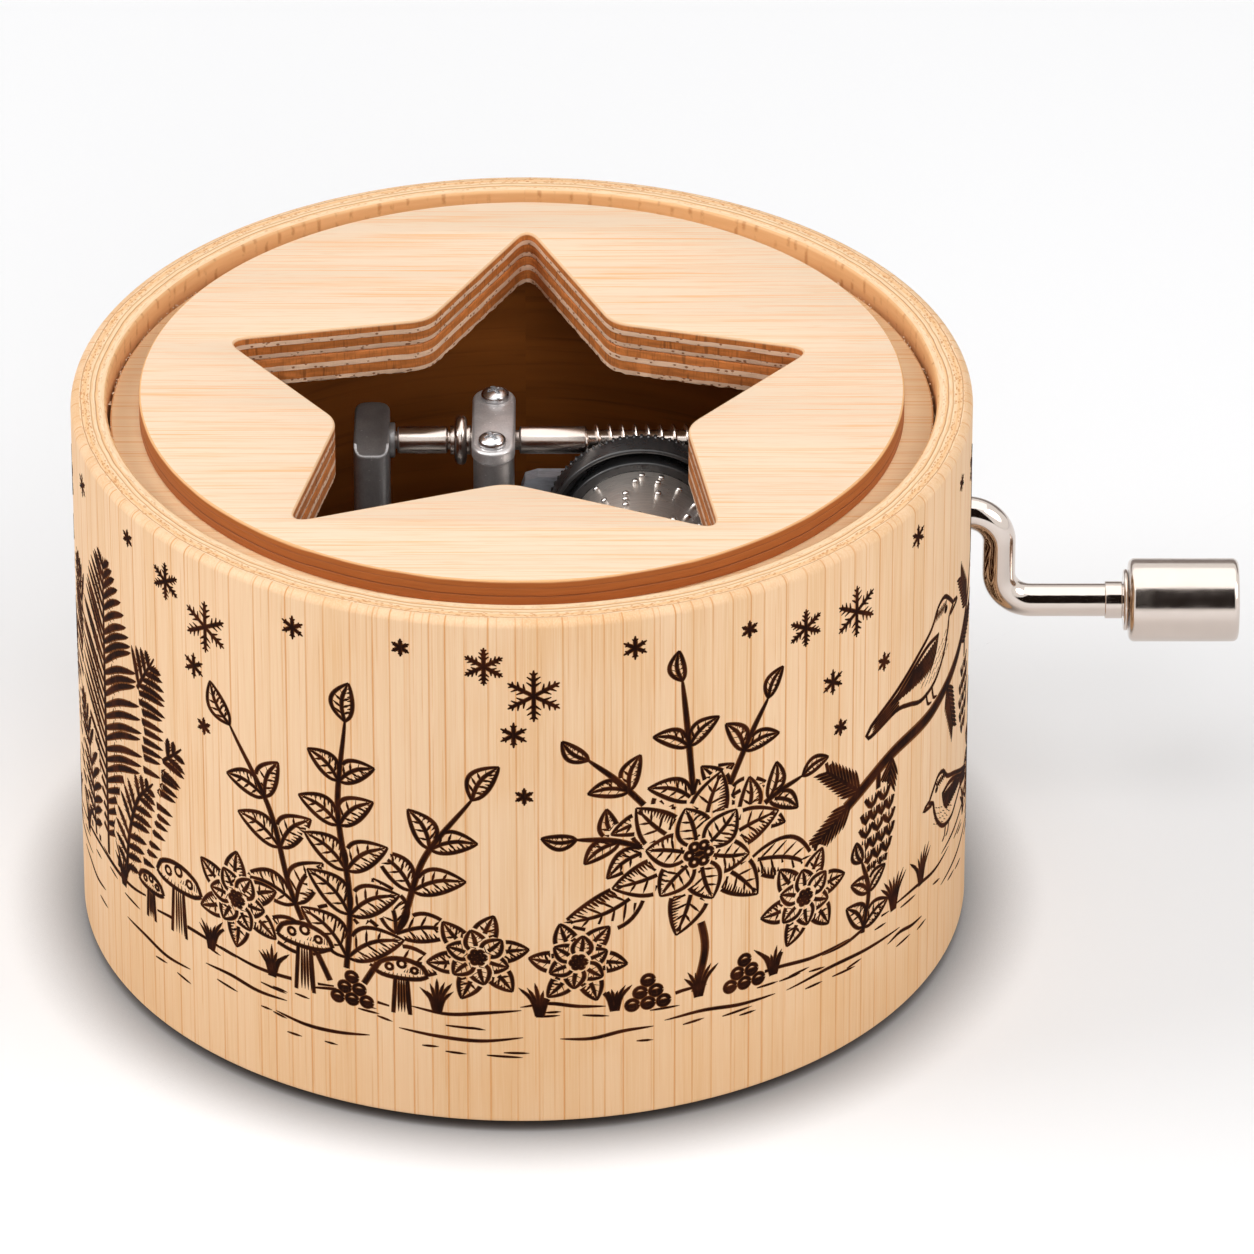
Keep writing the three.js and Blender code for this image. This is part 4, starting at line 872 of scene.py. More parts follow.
def drill(piece, start, end):
    """Cuts the hole for the spindle's bush along X through a piece."""
    _, _, axis, radius = turned_mm("wall_bushing")
    radius += HOLE_GAP
    cutter = Shape().lathe([(0, start), (radius, start), (radius, end), (0, end)], 64, along_x(axis))
    tool = placed("cutter", cutter.mesh("cutter", []))
    cut = piece.modifiers.new("hole", "BOOLEAN")
    cut.operation = "DIFFERENCE"
    cut.object = tool
    cut.solver = "EXACT"
    bpy.context.view_layer.update()
    graph = bpy.context.evaluated_depsgraph_get()
    mesh = bpy.data.meshes.new_from_object(piece.evaluated_get(graph))
    piece.modifiers.clear()
    piece.data = mesh
    mesh.shade_smooth()
    mesh.set_sharp_from_angle(angle=SHARP_ANGLE)
    bpy.data.objects.remove(tool)


class MUSIC_BOX_OT_wall(bpy.types.Operator):
    """Makes the drum's bent wooden wall with its ply rings and the hole for the spindle"""

    bl_idname = "music_box.wall"
    bl_label = "Wooden wall"

    SIDES = 288
    SKIN = 0.03
    RIM_ROUNDING = 0.75
    INNER_ROUNDING = 0.3
    FOOT_ROUNDING = 0.4
    THICKNESS = 3.2

    def execute(self, context):
        looks = context.scene.music_box_wood
        low, high = box_mm("outer_wall")
        outer = high.x - self.SKIN
        inner = high.x - self.THICKNESS
        corners = [(inner, low.z), (outer, low.z), (outer, high.z), (inner, high.z)]
        foot = soften([corners[0], corners[1], corners[2]], self.FOOT_ROUNDING, 4)[1:-1]
        rim = arc(outer - self.RIM_ROUNDING, high.z - self.RIM_ROUNDING, self.RIM_ROUNDING, 0, 90, 8)
        lip = arc(inner + self.INNER_ROUNDING, high.z - self.INNER_ROUNDING, self.INNER_ROUNDING, 90, 180, 4)
        profile = [corners[0], *foot, *rim, *lip, corners[0]]
        top_row = len(foot) + len(rim)
        finish = lambda row: 0 if row < top_row else (1 if row <= top_row + 1 else 2)
        wall = Shape().lathe(profile, self.SIDES, finish=finish)
        finishes = [side_wood(looks, high.x), rim_wood(inner, outer), inner_edge_wood(inner)]
        piece = wall.make("wall_wood", finishes, "root", "pale_wood", ["outer_wall"])
        drill(piece, box_mm("wall_bushing")[0].x, high.x + self.THICKNESS)
        return {"FINISHED"}


class MUSIC_BOX_OT_lid(bpy.types.Operator):
    """Makes the lid's two plywood discs with the star window through both"""

    bl_idname = "music_box.lid"
    bl_label = "Plywood lid"

    SIDES = 288
    PLIES = 4
    CORNER_STEPS = 7
    SIDE_STEPS = 34
    RAGGED = 0.2
    CRUMBS = 260
    # Ledge colours: the lower ply's own orange tone, partly lifted as painted light against the shade of its
    # groove.
    LEDGE_PAINTED_LIGHT = ((1.0, 0.72, 0.43), (0.9, 0.52, 0.23))
    CRUMB = ((0.97, 0.8, 0.6), (0.9, 0.62, 0.38))

    def execute(self, context):
        looks = context.scene.music_box_wood
        sizes = context.scene.music_box_lid
        top_low, top_high = box_mm("lid_top_disc")
        low, high = box_mm("lid_flange_disc")
        star = self.star(sizes, top_high.x)
        edge = looks.edge / MM
        joint = top_low.z
        upper_plies = ply_stack(looks, "upper_plies", top_high.z, (top_high.z - joint) / self.PLIES, True)
        lower_plies = ply_stack(looks, "lower_plies", joint, (joint - low.z) / self.PLIES, False)
        upper = [lid_wood("lid_face_wood", looks.lid, looks.lid_streak), upper_plies, disc_edge_wood(joint)]
        lower = [lid_wood("ledge_wood", *self.LEDGE_PAINTED_LIGHT), lower_plies, disc_edge_wood(low.z)]
        self.disc(star, top_high.x, joint, top_high.z, edge, 0).make(
            "lid_upper_plywood", upper, "root", "lid_wood", ["lid_top_disc"])
        self.disc(star, high.x, low.z, high.z, edge, self.RAGGED).make(
            "lid_lower_plywood", lower, "root", "lid_wood", ["lid_flange_disc"])
        crumb = lid_wood("crumb_wood", *self.CRUMB)
        self.burr(high.x, high.z).make("ledge_crumbs", [crumb], "root", "lid_wood")
        return {"FINISHED"}

    def star(self, sizes, radius):
        """The window's outline, anticlockwise, its straight sides cut into short steps."""
        tip = radius - sizes.inset / MM
        middle = Vector(sizes.shift) / MM
        half = list(zip(sizes.corner_shares, sizes.turn_shares))
        mirrored = [(share, -turn) for share, turn in reversed(half[1:-1])]
        corners = []
        for share, turn in half + mirrored:
            angle = pi / 2 + sizes.turn + pi * turn
            corners.append((middle.x + tip * share * cos(angle), middle.y + tip * share * sin(angle)))
        roundings = [sizes.tip_rounding / MM, sizes.notch_rounding / MM]
        outline = []
        corner_points = self.CORNER_STEPS + 1
        rounded = soften_ring(corners, roundings, self.CORNER_STEPS)
        for index, point in enumerate(rounded):
            outline.append(point)
            if index % corner_points == corner_points - 1:
                after = rounded[(index + 1) % len(rounded)]
                for step in range(1, self.SIDE_STEPS):
                    outline.append(tuple(Vector(point).lerp(Vector(after), step / self.SIDE_STEPS)))
        return outline

    def disc(self, star, radius, low, high, edge, ragged):
        """A disc with the star cut out. Finishes: faces, window side, outer side."""
        shape = Shape()
        rng = random.Random(11)
        rows = rounded_rows(low, high, edge, edge, 2, 3)
        outer = ring_outline(radius, self.SIDES)
        layers = [[(x, y, z) for x, y in inset(outer, amount)] for amount, z in rows]
        window = []
        for row, (amount, z) in enumerate(rows):
            ring = []
            for x, y in inset(star, -amount):
                drop = rng.uniform(0, ragged) if row < 3 else 0
                ring.append((x, y, z + drop))
            window.append(ring)
        shape.loft(layers, capped=False, finish=2)
        shape.loft(window, capped=False, finish=1)
        for outside, hole in ((layers[0], window[0]), (layers[-1], window[-1])):
            rings = [[Vector(p) for p in outside], [Vector(p) for p in hole]]
            triangles = tessellate_polygon(rings)
            shape.add([*outside, *hole], [list(triangle) for triangle in triangles])
        return self.welded(shape)

    def welded(self, shape):
        """Joins the points that the faces and sides share."""
        seen, numbers, points = {}, [], []
        for point in shape.points:
            key = tuple(round(part, 5) for part in point)
            if key not in seen:
                seen[key] = len(points)
                points.append(point)
            numbers.append(seen[key])
        shape.points = points
        shape.faces = [[numbers[corner] for corner in face] for face in shape.faces]
        return shape

    def burr(self, radius, height):
        """Small crumbs of sawn wood left in the joint between the ledge and the wall."""
        rng = random.Random(5)
        shape = Shape()
        for _ in range(self.CRUMBS):
            angle = rng.uniform(0, TURN)
            size = rng.uniform(0.04, 0.1)
            away = radius + rng.uniform(-0.12, 0.1)
            middle = Vector((away * cos(angle), away * sin(angle), height + size * 0.4))
            turn = Matrix.Rotation(rng.uniform(0, TURN), 4, "Z") @ Matrix.Rotation(rng.uniform(0, 1), 4, "X")
            long = size * rng.uniform(1.0, 2.4)
            points = [(long, 0, 0), (-long, 0, 0), (0, size, 0), (0, -size, 0), (0, 0, size), (0, 0, -size)]
            faces = [(0, 2, 4), (2, 1, 4), (1, 3, 4), (3, 0, 4), (2, 0, 5), (1, 2, 5), (3, 1, 5), (0, 3, 5)]
            shape.add(points, faces, 0, Matrix.Translation(middle) @ turn)
        return shape


def spline(points, step):
    """A smooth line through points of the plane, given as complex numbers, cut into short steps."""
    if len(points) == 2:
        count = max(1, round(abs(points[1] - points[0]) / step))
        return [points[0] + (points[1] - points[0]) * i / count for i in range(count + 1)]
    padded = [2 * points[0] - points[1], *points, 2 * points[-1] - points[-2]]
    line = []
    for a, b, c, d in zip(padded, padded[1:], padded[2:], padded[3:]):
        count = max(2, round(abs(c - b) / step))
        for i in range(count):
            t = i / count
            line.append(0.5 * (2 * b + (c - a) * t + (2 * a - 5 * b + 4 * c - d) * t ** 2
                               + (3 * b - a - 3 * c + d) * t ** 3))
    line.append(points[-1])
    return line


def heading(line, index, reach=1):
    """Direction of a line at one of its points."""
    along = line[min(index + reach, len(line) - 1)] - line[max(index - reach, 0)]
    return along / abs(along) if along else 1


class Drawing:
    """Burnt strokes on the side. A place is a complex number in millimetres: way round, then height."""

    EDGE_LIFT = 0.004
    CREST_LIFT = 0.026
    ROOT_DEPTH = 0.06
    HALO = 0.32
    CELL = 4.0
    LEAFLET = 0.26
    NEEDLES = 10

    def __init__(self, radius, sizes):
        self.radius = radius
        self.bold = sizes.line / MM
        self.fine = sizes.fine / MM
        self.step = sizes.step / MM
        self.points = []
        self.faces = []
        self.burn = []
        self.masks = {}
        self.rng = random.Random(23)

    def wrapped(self, place, lift):
        angle = place.real / self.radius
        away = self.radius + lift
        return Vector((away * sin(angle), -away * cos(angle), place.imag)) * MM

    def mask(self, outline):
        """Keeps later strokes out of an outline, so that what is drawn first stands in front."""
        low_x, high_x = min(p.real for p in outline), max(p.real for p in outline)
        low_y, high_y = min(p.imag for p in outline), max(p.imag for p in outline)
        for column in range(int(low_x // self.CELL), int(high_x // self.CELL) + 1):
            for row in range(int(low_y // self.CELL), int(high_y // self.CELL) + 1):
                self.masks.setdefault((column, row), []).append(outline)

    def hidden(self, place):
        x, y = place.real, place.imag
        for outline in self.masks.get((x // self.CELL, y // self.CELL), ()):
            inside = False
            last = outline[-1]
            for point in outline:
                if (point.imag > y) != (last.imag > y):
                    share = (y - point.imag) / (last.imag - point.imag)
                    if x < point.real + share * (last.real - point.real):
                        inside = not inside
                last = point
            if inside:
                return True
        return False

    def stroke(self, points, width=None, start=0.25, end=0.25):
        """A tapered line through the points. start and end are shares of its width at its ends."""
        line = spline(points, self.step)
        half = (width or self.bold) / 2
        last = len(line) - 1
        run = []
        for index, place in enumerate(line):
            if self.hidden(place):
                self.strip(run)
                run = []
                continue
            share = index / last
            swell = sin(pi * share) ** 0.6 if 0 < share < 1 else 0
            taper = start + (end - start) * share
            run.append((place, heading(line, index) * 1j * half * (taper + (1 - taper) * swell)))
        self.strip(run)

    def strip(self, run):
        """A ridge through places with their half widths, closed at both ends."""
        if len(run) < 2:
            return
        first = len(self.points)
        for place, reach in run:
            for offset, lift, burn in (
                (reach, self.EDGE_LIFT, 0.0),
                (0, self.CREST_LIFT, 1.0),
                (-reach, self.EDGE_LIFT, 0.0),
                (0, -self.ROOT_DEPTH, 0.0),
            ):
                self.points.append(self.wrapped(place + offset, lift))
                self.burn.append(burn)
        for index in range(len(run) - 1):
            low = first + 4 * index
            for side in range(4):
                after = (side + 1) % 4
                self.faces.append((low + side, low + after, low + 4 + after, low + 4 + side))
        tail = first + 4 * (len(run) - 1)
        self.faces.append((first + 3, first + 2, first + 1, first))
        self.faces.append((tail, tail + 1, tail + 2, tail + 3))

    def hair(self, points, width=None):
        self.stroke(points, width or self.fine, 0.45, 0.15)

    def circle(self, middle, radius, width=None):
        self.stroke([middle + rect(radius, TURN * i / 10) for i in range(11)], width, 1, 1)

    def disc_mask(self, middle, radius):
        self.mask([middle + rect(radius + self.HALO, TURN * i / 12) for i in range(12)])

    def blot(self, middle, radius):
        self.stroke([middle - radius, middle, middle + radius], 2 * radius, 0.5, 0.5)

    def leaf(self, base, tip, width, bend=0.12, veins=6, shade=0.8):
        """A pointed leaf with rib and veins, and close hatching on one side of the rib."""
        run = tip - base
        size = abs(run)
        normal = run / size * 1j
        middle = lambda s: base + run * s + normal * bend * size * sin(pi * s)
        half = lambda s: width * size * sin(pi * s ** 0.85) ** 0.9 if 0 < s < 1 else 0
        shares = [i / 8 for i in range(9)]
        sides = [[middle(s) + side * normal * half(s) for s in shares] for side in (1, -1)]
        for side in sides:
            self.stroke(side, self.bold, 0.7, 0.45)
        self.stroke([middle(s) for s in (0, 0.3, 0.6, 0.95)], self.bold, 0.9, 0.2)
        for vein in range(1, veins):
            s = vein / veins
            after = min(s + 0.13, 0.98)
            for side in (1, -1):
                self.hair([middle(s), middle(after) + side * normal * half(after) * 0.85])
        rows = int(size * shade / 0.36)
        for row in range(rows):
            s = 0.06 + 0.82 * row / rows
            after = min(s + 0.1, 0.98)
            rim = middle(after) - normal * half(after) * 0.92
            self.stroke([rim * 0.55 + middle(s) * 0.45, rim], self.fine * 1.15, 0.2, 0.9)
        outline = [middle(s) + normal * (half(s) + self.HALO) for s in shares]
        outline += [middle(s) - normal * (half(s) + self.HALO) for s in reversed(shares)]
        self.mask(outline)

    def berries(self, middle, radius):
        """A bunch of small dark berries, each with a pale glint."""
        for row, count in enumerate((3, 2, 1)):
            for berry in range(count):
                place = middle + complex((berry - (count - 1) / 2) * 2.3, 1.9 * row) * radius
                self.circle(place, radius * 0.84)
                glint = [place - radius * 0.7, place - 0.25j * radius, place + radius * 0.7]
                self.stroke(glint, radius * 1.1, 0.5, 0.5)
                self.disc_mask(place, radius - self.HALO)

    def sprig(self, path, pairs, leaf_length, leaf_width=0.26):
        """A stem with leaves in pairs that grow smaller towards its tip."""
        line = spline(path, self.step)
        self.stroke(path, self.bold * 1.4, 1, 0.4)
        last = len(line) - 1
        self.leaf(line[-1], line[-1] + heading(line, last, 2) * leaf_length * 0.62, leaf_width)
        for pair in reversed(range(pairs)):
            share = 0.12 + 0.82 * pair / pairs
            at = line[int(share * last)]
            along = heading(line, int(share * last), 2)
            length = leaf_length * (1 - 0.5 * share)
            for side in (1, -1):
                tilt = rect(1, side * self.rng.uniform(0.8, 1.05))
                self.leaf(at, at + along * tilt * length, leaf_width, -0.12 * side, 5)

    def fern(self, base, height, lean):
        """A frond: a bowed stalk with close rows of dark tapered leaflets."""
        path = [base, base + height * (0.35j + 0.1 * lean), base + height * (0.7j + 0.34 * lean),
                base + height * (0.94j + 0.72 * lean)]
        line = spline(path, self.step)
        self.stroke(path, self.bold * 1.3, 1, 0.3)
        last = len(line) - 1
        rows = int(height / 1.25)
        sides = {1: [], -1: []}
        for row in range(rows):
            share = 0.08 + 0.92 * row / rows
            at = line[int(share * last)]
            along = heading(line, int(share * last))
            length = height * self.LEAFLET * sin(pi * (0.14 + 0.84 * share)) ** 0.75
            for side in (1, -1):
                angle = side * (1.15 - 0.4 * share + self.rng.uniform(-0.07, 0.07))
                out = along * rect(length, angle)
                tip = at + out - 0.12j * length
                self.stroke([at, (at + tip) / 2 + 0.05j * length, tip], self.bold * 1.7, 0.55, 0.1)
                sides[side].append(tip + out / abs(out) * 0.1)
                if length > 1.8:
                    for part in (0.25, 0.42, 0.59, 0.76):
                        root = at + (tip - at) * part + 0.04j * length
                        for twig in (1, -1):
                            grow = (tip - at) / abs(tip - at) * rect(0.86 * (1.15 - part), twig * 0.85)
                            self.stroke([root, root + grow], self.fine * 1.3, 0.9, 0.15)
        self.mask([base - 0.5, *sides[1], line[-1] + 0.6j, *reversed(sides[-1]), base + 0.5])

    def snowflake(self, middle, radius):
        for arm in range(6):
            out = rect(1, TURN * arm / 6 + pi / 6)
            self.stroke([middle, middle + out * radius], self.bold, 1, 0.3)
            for share, reach in ((0.36, 0.3), (0.58, 0.28), (0.8, 0.17)):
                if radius < 1.5 and share != 0.58:
                    continue
                for side in (1, -1):
                    root = middle + out * radius * share
                    twig = out * rect(radius * reach, side * 0.95)
                    self.stroke([root, root + twig], self.fine * 1.3, 1, 0.3)

    def flower(self, middle, radius, turn=0.0):
        """A winter bloom: two whorls of veined petals round a cluster of beads."""
        for bead in range(6):
            self.circle(middle + rect(radius * 0.11, TURN * bead / 6), radius * 0.045)
        self.blot(middle, radius * 0.05)
        self.disc_mask(middle, radius * 0.14)
        for petal in range(6):
            out = rect(1, turn + TURN * (petal + 0.5) / 6)
            self.leaf(middle + out * radius * 0.1, middle + out * radius * 0.62, 0.36, -0.05, 5, 0.8)
        for petal in range(6):
            out = rect(1, turn + TURN * petal / 6)
            self.leaf(middle + out * radius * 0.2, middle + out * radius, 0.27, 0.05, 6, 1.0)

    def cone(self, top, length, width):
        """A hanging seed cone: rows of overlapping scales, dark underneath."""
        along = rect(1, -pi / 2)
        across = along * 1j
        rows = int(length / 1.3)
        self.stroke([top - along * 1.8, top], self.bold * 1.6, 1, 1)
        sides = {1: [], -1: []}
        for row in range(rows):
            share = (row + 0.5) / rows
            half = width * sin(pi * (0.14 + 0.8 * share)) ** 0.7
            count = max(1, round(2 * half / 1.6)) + row % 2
            for side in (1, -1):
                sides[side].append(top + along * length * share + across * side * (half + 0.35))
            for scale in range(count):
                offset = (scale + 0.5 - count / 2) * 2 * half / count
                middle = top + along * length * share + across * offset
                reach = half / count + 0.1
                self.stroke([middle - across * reach - along * 0.35, middle + along * 0.66,
                             middle + across * reach - along * 0.35], self.bold * 1.5, 0.6, 0.6)
                for hatch in (-0.5, 0, 0.5):
                    root = middle + across * hatch * reach
                    self.hair([root - along * 0.45, root + along * 0.4])
        self.mask([top - along * 0.5, *sides[1], top + along * (length + 0.6), *reversed(sides[-1])])

    def needles(self, base, length, turn):
        """A spray of dark needles off a twig."""
        along = rect(1, turn)
        self.stroke([base, base + along * length], self.bold * 1.2, 1, 0.4)
        for row in range(self.NEEDLES):
            root = base + along * length * (row + 0.3) / self.NEEDLES
            for side in (1, -1):
                tip = root + along * rect(length * (0.42 - 0.014 * row), side * 0.6)
                self.stroke([root, tip], self.bold * 0.95, 0.9, 0.15)

    def bird(self, middle, size, facing=1):
        """A small songbird: smooth outline, folded wing with dark feathers, hatched breast."""
        at = lambda x, y: middle + size * complex(facing * x, y)
        outline = [(7.3, 2.7), (6.0, 3.9), (4.5, 4.9), (2.9, 4.6), (1.4, 3.1), (-1.6, 1.7), (-5.0, 0.0),
                   (-9.2, -2.0), (-9.5, -3.1), (-5.4, -2.2), (-3.0, -2.7), (-0.6, -3.5), (2.4, -3.0),
                   (4.6, -1.2), (5.7, 0.9), (6.0, 2.0), (7.3, 2.7)]
        self.stroke([at(*point) for point in outline], self.bold * 1.1, 0.9, 0.9)
        self.stroke([at(7.3, 2.9), at(8.7, 2.4), at(6.4, 2.0)], self.bold, 0.9, 0.9)
        self.blot(at(5.0, 3.3), 0.42 * size)
        for feather in range(13):
            share = feather / 12
            start = at(3.0 - 5.0 * share, 1.5 - 0.9 * share)
            end = at(1.1 - 7.0 * share, -1.4 + 0.15 * share)
            middle_point = (start + end) / 2 + size * complex(0.3 * facing, -0.12)
            self.stroke([start, middle_point, end], self.bold, 0.8, 0.5)
        self.stroke([at(3.2, 1.6), at(0.6, 1.7), at(-2.4, 0.7), at(-6.6, -1.5)], self.bold * 1.2, 0.8, 0.5)
        for row in range(8):
            for column in range(4):
                down = 1.0 - 0.55 * row - 0.62 * column + 0.06 * row ** 2
                root = at(5.2 - 0.85 * row + 0.2 * column, down)
                self.hair([root, root + size * complex(-0.6 * facing, -0.4)])
        for cap in range(6):
            self.hair([at(3.0 + 0.45 * cap, 4.3), at(2.3 + 0.45 * cap, 3.3)], self.bold * 0.8)
        for line in range(5):
            ends = [at(-4.8, -0.5 - 0.34 * line), at(-9.0, -2.05 - 0.22 * line)]
            self.stroke(ends, self.bold * 0.8, 0.8, 0.3)
        for leg in (0.4, 1.7):
            self.stroke([at(leg, -3.2), at(leg + 0.35, -4.6), at(leg + 1.2, -4.9)], self.bold * 0.8, 0.9, 0.5)
        self.mask([at(*point) for point in outline[:-1]])

    def toadstool(self, foot, height, width):
        """A toadstool: spotted cap, gills and a striped stem."""
        cap = foot + 1j * height
        rise = 0.62 * width
        turns = (pi, 2.5, 1.95, pi / 2, 1.2, 0.64, 0)
        arc = [cap + complex(width * cos(a), rise * sin(a)) for a in turns]
        self.stroke(arc, self.bold * 1.2, 0.9, 0.9)
        under = [cap + complex(width * cos(a), 0.22 * width * sin(a)) for a in
                 (pi, 3.9, 4.71, 5.5, TURN)]
        self.stroke(under, self.bold * 1.1, 0.9, 0.9)
        for gill in range(-5, 6):
            root = cap + complex(width * 0.17 * gill, -0.2 * width * sqrt(1 - (0.17 * gill) ** 2))
            self.hair([root, cap + complex(width * 0.15 * gill, -0.02 * width)], self.bold * 0.8)
        for spot, size in ((-0.45 + 0.36j, 0.13), (0.02 + 0.66j, 0.15), (0.5 + 0.3j, 0.12)):
            place = cap + complex(spot.real * width, spot.imag * rise)
            self.circle(place, size * width, self.fine * 1.2)
            self.disc_mask(place, size * width - self.HALO)
        for line in range(9):
            share = (line + 0.5) / 9
            edge = cap + complex(width * (0.96 - 0.9 * share), 0.1 * rise)
            up = rise * sqrt(1 - (0.92 - 0.66 * share) ** 2) * 0.9
            top = cap + complex(width * (0.9 - 0.62 * share), up)
            self.hair([edge, edge + (top - edge) * (0.95 - 0.75 * share)])
        stem = []
        for side in (1, -1):
            ends = [cap + complex(side * 0.22 * width, -0.2 * width), foot + complex(side * 0.32 * width, 0)]
            self.stroke(ends, self.bold, 0.9, 0.9)
            stem += ends if side > 0 else reversed(ends)
        for line in range(4):
            x = (0.18 - 0.09 * line) * width
            self.hair([cap + complex(x, -0.24 * width), foot + complex(1.3 * x, 0.2)])
        self.mask(stem)
        self.mask(arc + under[-2:0:-1])

    def tufts(self, base, offsets, height, blades):
        """Tufts of grass along the ground."""
        for offset in offsets:
            foot = base + complex(offset, -1.4)
            for blade in range(blades):
                lean = (blade - (blades - 1) / 2) / blades
                tall = height * self.rng.uniform(0.65, 1.1)
                middle = foot + complex(lean * tall * 0.6, tall * 0.6)
                self.stroke([foot + lean * 0.6, middle, foot + complex(lean * tall * 1.5, tall)],
                            self.bold * 0.95, 0.9, 0.1)

    def ground(self, start, end, height, sway):
        """A drift line with short shading strokes under it."""
        steps = max(3, int((end - start) / 5))
        places = [complex(start + (end - start) * i / steps, height + sway * sin(1.7 * i + start))
                  for i in range(steps + 1)]
        self.stroke(places, self.bold * 0.9, 0.2, 0.2)
        for place in spline(places, 3.1)[1:-1]:
            if self.rng.random() < 0.5:
                low = place - complex(self.rng.uniform(-0.5, 0.8), self.rng.uniform(0.8, 1.6))
                self.hair([low, low + complex(self.rng.uniform(1.2, 3.2), self.rng.uniform(-0.35, 0.2))])


class MUSIC_BOX_OT_frieze(bpy.types.Operator):
    """Burns a winter garden of ferns, blooms, birds and cones round the drum's side"""

    bl_idname = "music_box.frieze"
    bl_label = "Burnt frieze"

    BEDS = 8
    DRIFTS = 26
    LOW_DRIFTS = 22

    def execute(self, context):
        sizes = context.scene.music_box_frieze
        looks = context.scene.music_box_wood
        high = box_mm("outer_wall")[1]
        drawing = Drawing(high.x - MUSIC_BOX_OT_wall.SKIN, sizes)
        ground = sizes.ground / MM
        width = TURN * high.x / self.BEDS
        beds = [self.bloom_bed, self.bird_bed, self.fern_bed, self.cone_bed]
        for bed in range(self.BEDS):
            base = complex(width * (bed - self.BEDS / 2 + 0.5), ground)
            beds[bed % len(beds)](drawing, base)
            self.snow(drawing, base)
        self.border(drawing, high.x)
        mesh = bpy.data.meshes.new("burnt_frieze")
        mesh.from_pydata(drawing.points, [], drawing.faces)
        mesh.materials.append(burnt_wood(looks))
        burn = mesh.attributes.new("burn", "FLOAT", "POINT")
        burn.data.foreach_set("value", drawing.burn)
        frieze = placed("burnt_frieze", mesh)
        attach(frieze, "root")
        return {"FINISHED"}

    def fern_bed(self, drawing, base):
        """A tall fern with toadstools at its foot."""
        drawing.toadstool(base + (12.8 - 1.8j), 5.4, 3.1)
        drawing.toadstool(base + (8.6 - 2.2j), 3.4, 2.0)
        drawing.tufts(base, (-12.0, -6.4, 3.6), 3.6, 7)
        for offset, height, lean in ((-3.4, 14, -0.5), (4.2, 13, 0.55), (0.2, 33, 0.02), (-2.2, 28, -0.36),
                                     (2.6, 27, 0.38), (-4.8, 20, -0.62), (5.2, 19, 0.62)):
            drawing.fern(base + offset, height, lean)

    def bloom_bed(self, drawing, base):
        """One large bloom with leaves round it, and two small ones."""
        drawing.flower(base + (-10.6 + 4.0j), 4.4, 0.9)
        drawing.berries(base + (-4.4 - 1.0j), 0.62)
        drawing.berries(base + (4.8 - 1.2j), 0.62)
        drawing.flower(base + (11.2 + 5.4j), 4.8, 0.1)
        drawing.tufts(base, (-14, -7.4, 0.3, 7.8), 3.2, 6)
        heart = base + (0.3 + 13.4j)
        drawing.flower(heart, 8.2, 0.26)
        drawing.stroke([base - 0.8j, base + (0.9 + 3.5j), heart - 6j], drawing.bold * 1.8, 1, 0.8)
        for angle in (-0.42, 3.55):
            out = rect(1, angle)
            drawing.leaf(heart + out * 5.2, heart + out * 13.4, 0.24, 0.1, 7)
        for angle, reach in ((0.42, 11.5), (1.12, 15.5), (1.66, 18.0), (2.3, 15.0), (2.86, 11.5)):
            out = rect(1, angle)
            path = [heart + out * 4, heart + out * reach * 0.7 + 0.5j, heart + out * reach]
            drawing.sprig(path, 2, 5.0, 0.22)

    def bird_bed(self, drawing, base):
        """A bird on a cone branch, and another on the ground."""
        drawing.bird(base + (3.6 + 4.2j), 0.78, -1)
        drawing.sprig([base + p for p in (-13.0 - 1.5j, -12.2 + 2.5j, -13.2 + 6j)], 2, 4.0)
        drawing.sprig([base + p for p in (13.6 - 1.5j, 12.8 + 3j, 13.6 + 7.5j)], 3, 4.4)
        drawing.tufts(base, (-8.4, -3.5, 9.4), 3.6, 7)
        drawing.bird(base + (-3.4 + 21.4j), 0.95)
        drawing.cone(base + (-11.0 + 12.6j), 8.4, 2.5)
        drawing.cone(base + (8.6 + 15.6j), 7.6, 2.3)
        branch = [base + p for p in (-15.5 + 12.6j, -9 + 15.2j, -1 + 15.8j, 7 + 18.4j, 14 + 24.5j)]
        drawing.stroke(branch, drawing.bold * 3.2, 0.9, 0.35)
        for place, turn in ((-13.5 + 13.4j, 2.4), (-9 + 15j, -1.75), (2 + 16.4j, -1.2),
                            (6.6 + 18.1j, 0.1), (9.6 + 20.4j, 2.2), (13 + 23.4j, 0.5),
                            (13.6 + 24.2j, 1.5), (-14.6 + 12.9j, -2.6)):
            drawing.needles(base + place, 6.0, turn)

    def cone_bed(self, drawing, base):
        """Three leafy stems behind small blooms and toadstools."""
        drawing.toadstool(base + (-4.0 - 1.8j), 5.2, 2.8)
        drawing.toadstool(base + (5.2 - 2.0j), 4.2, 2.4)
        drawing.flower(base + (-11.2 + 5.2j), 5.0, 0.5)
        drawing.flower(base + (12.0 + 4.6j), 4.6, 0.2)
        drawing.berries(base + (0.6 - 1.4j), 0.6)
        drawing.tufts(base, (-14.4, -7.4, 8.4), 3.2, 7)
        drawing.sprig([base, base + 0.5 + 9j, base - 0.5 + 18j, base + 0.3 + 27j], 5, 6.4, 0.26)
        for lean, tall in ((-1, 1.0), (1, 0.9)):
            path = [base + p for p in (1.5 * lean, 5.2 * lean + 8j * tall, 7.4 * lean + 16j * tall,
                                       11.6 * lean + 23j * tall)]
            drawing.sprig(path, 4, 6.8, 0.25)

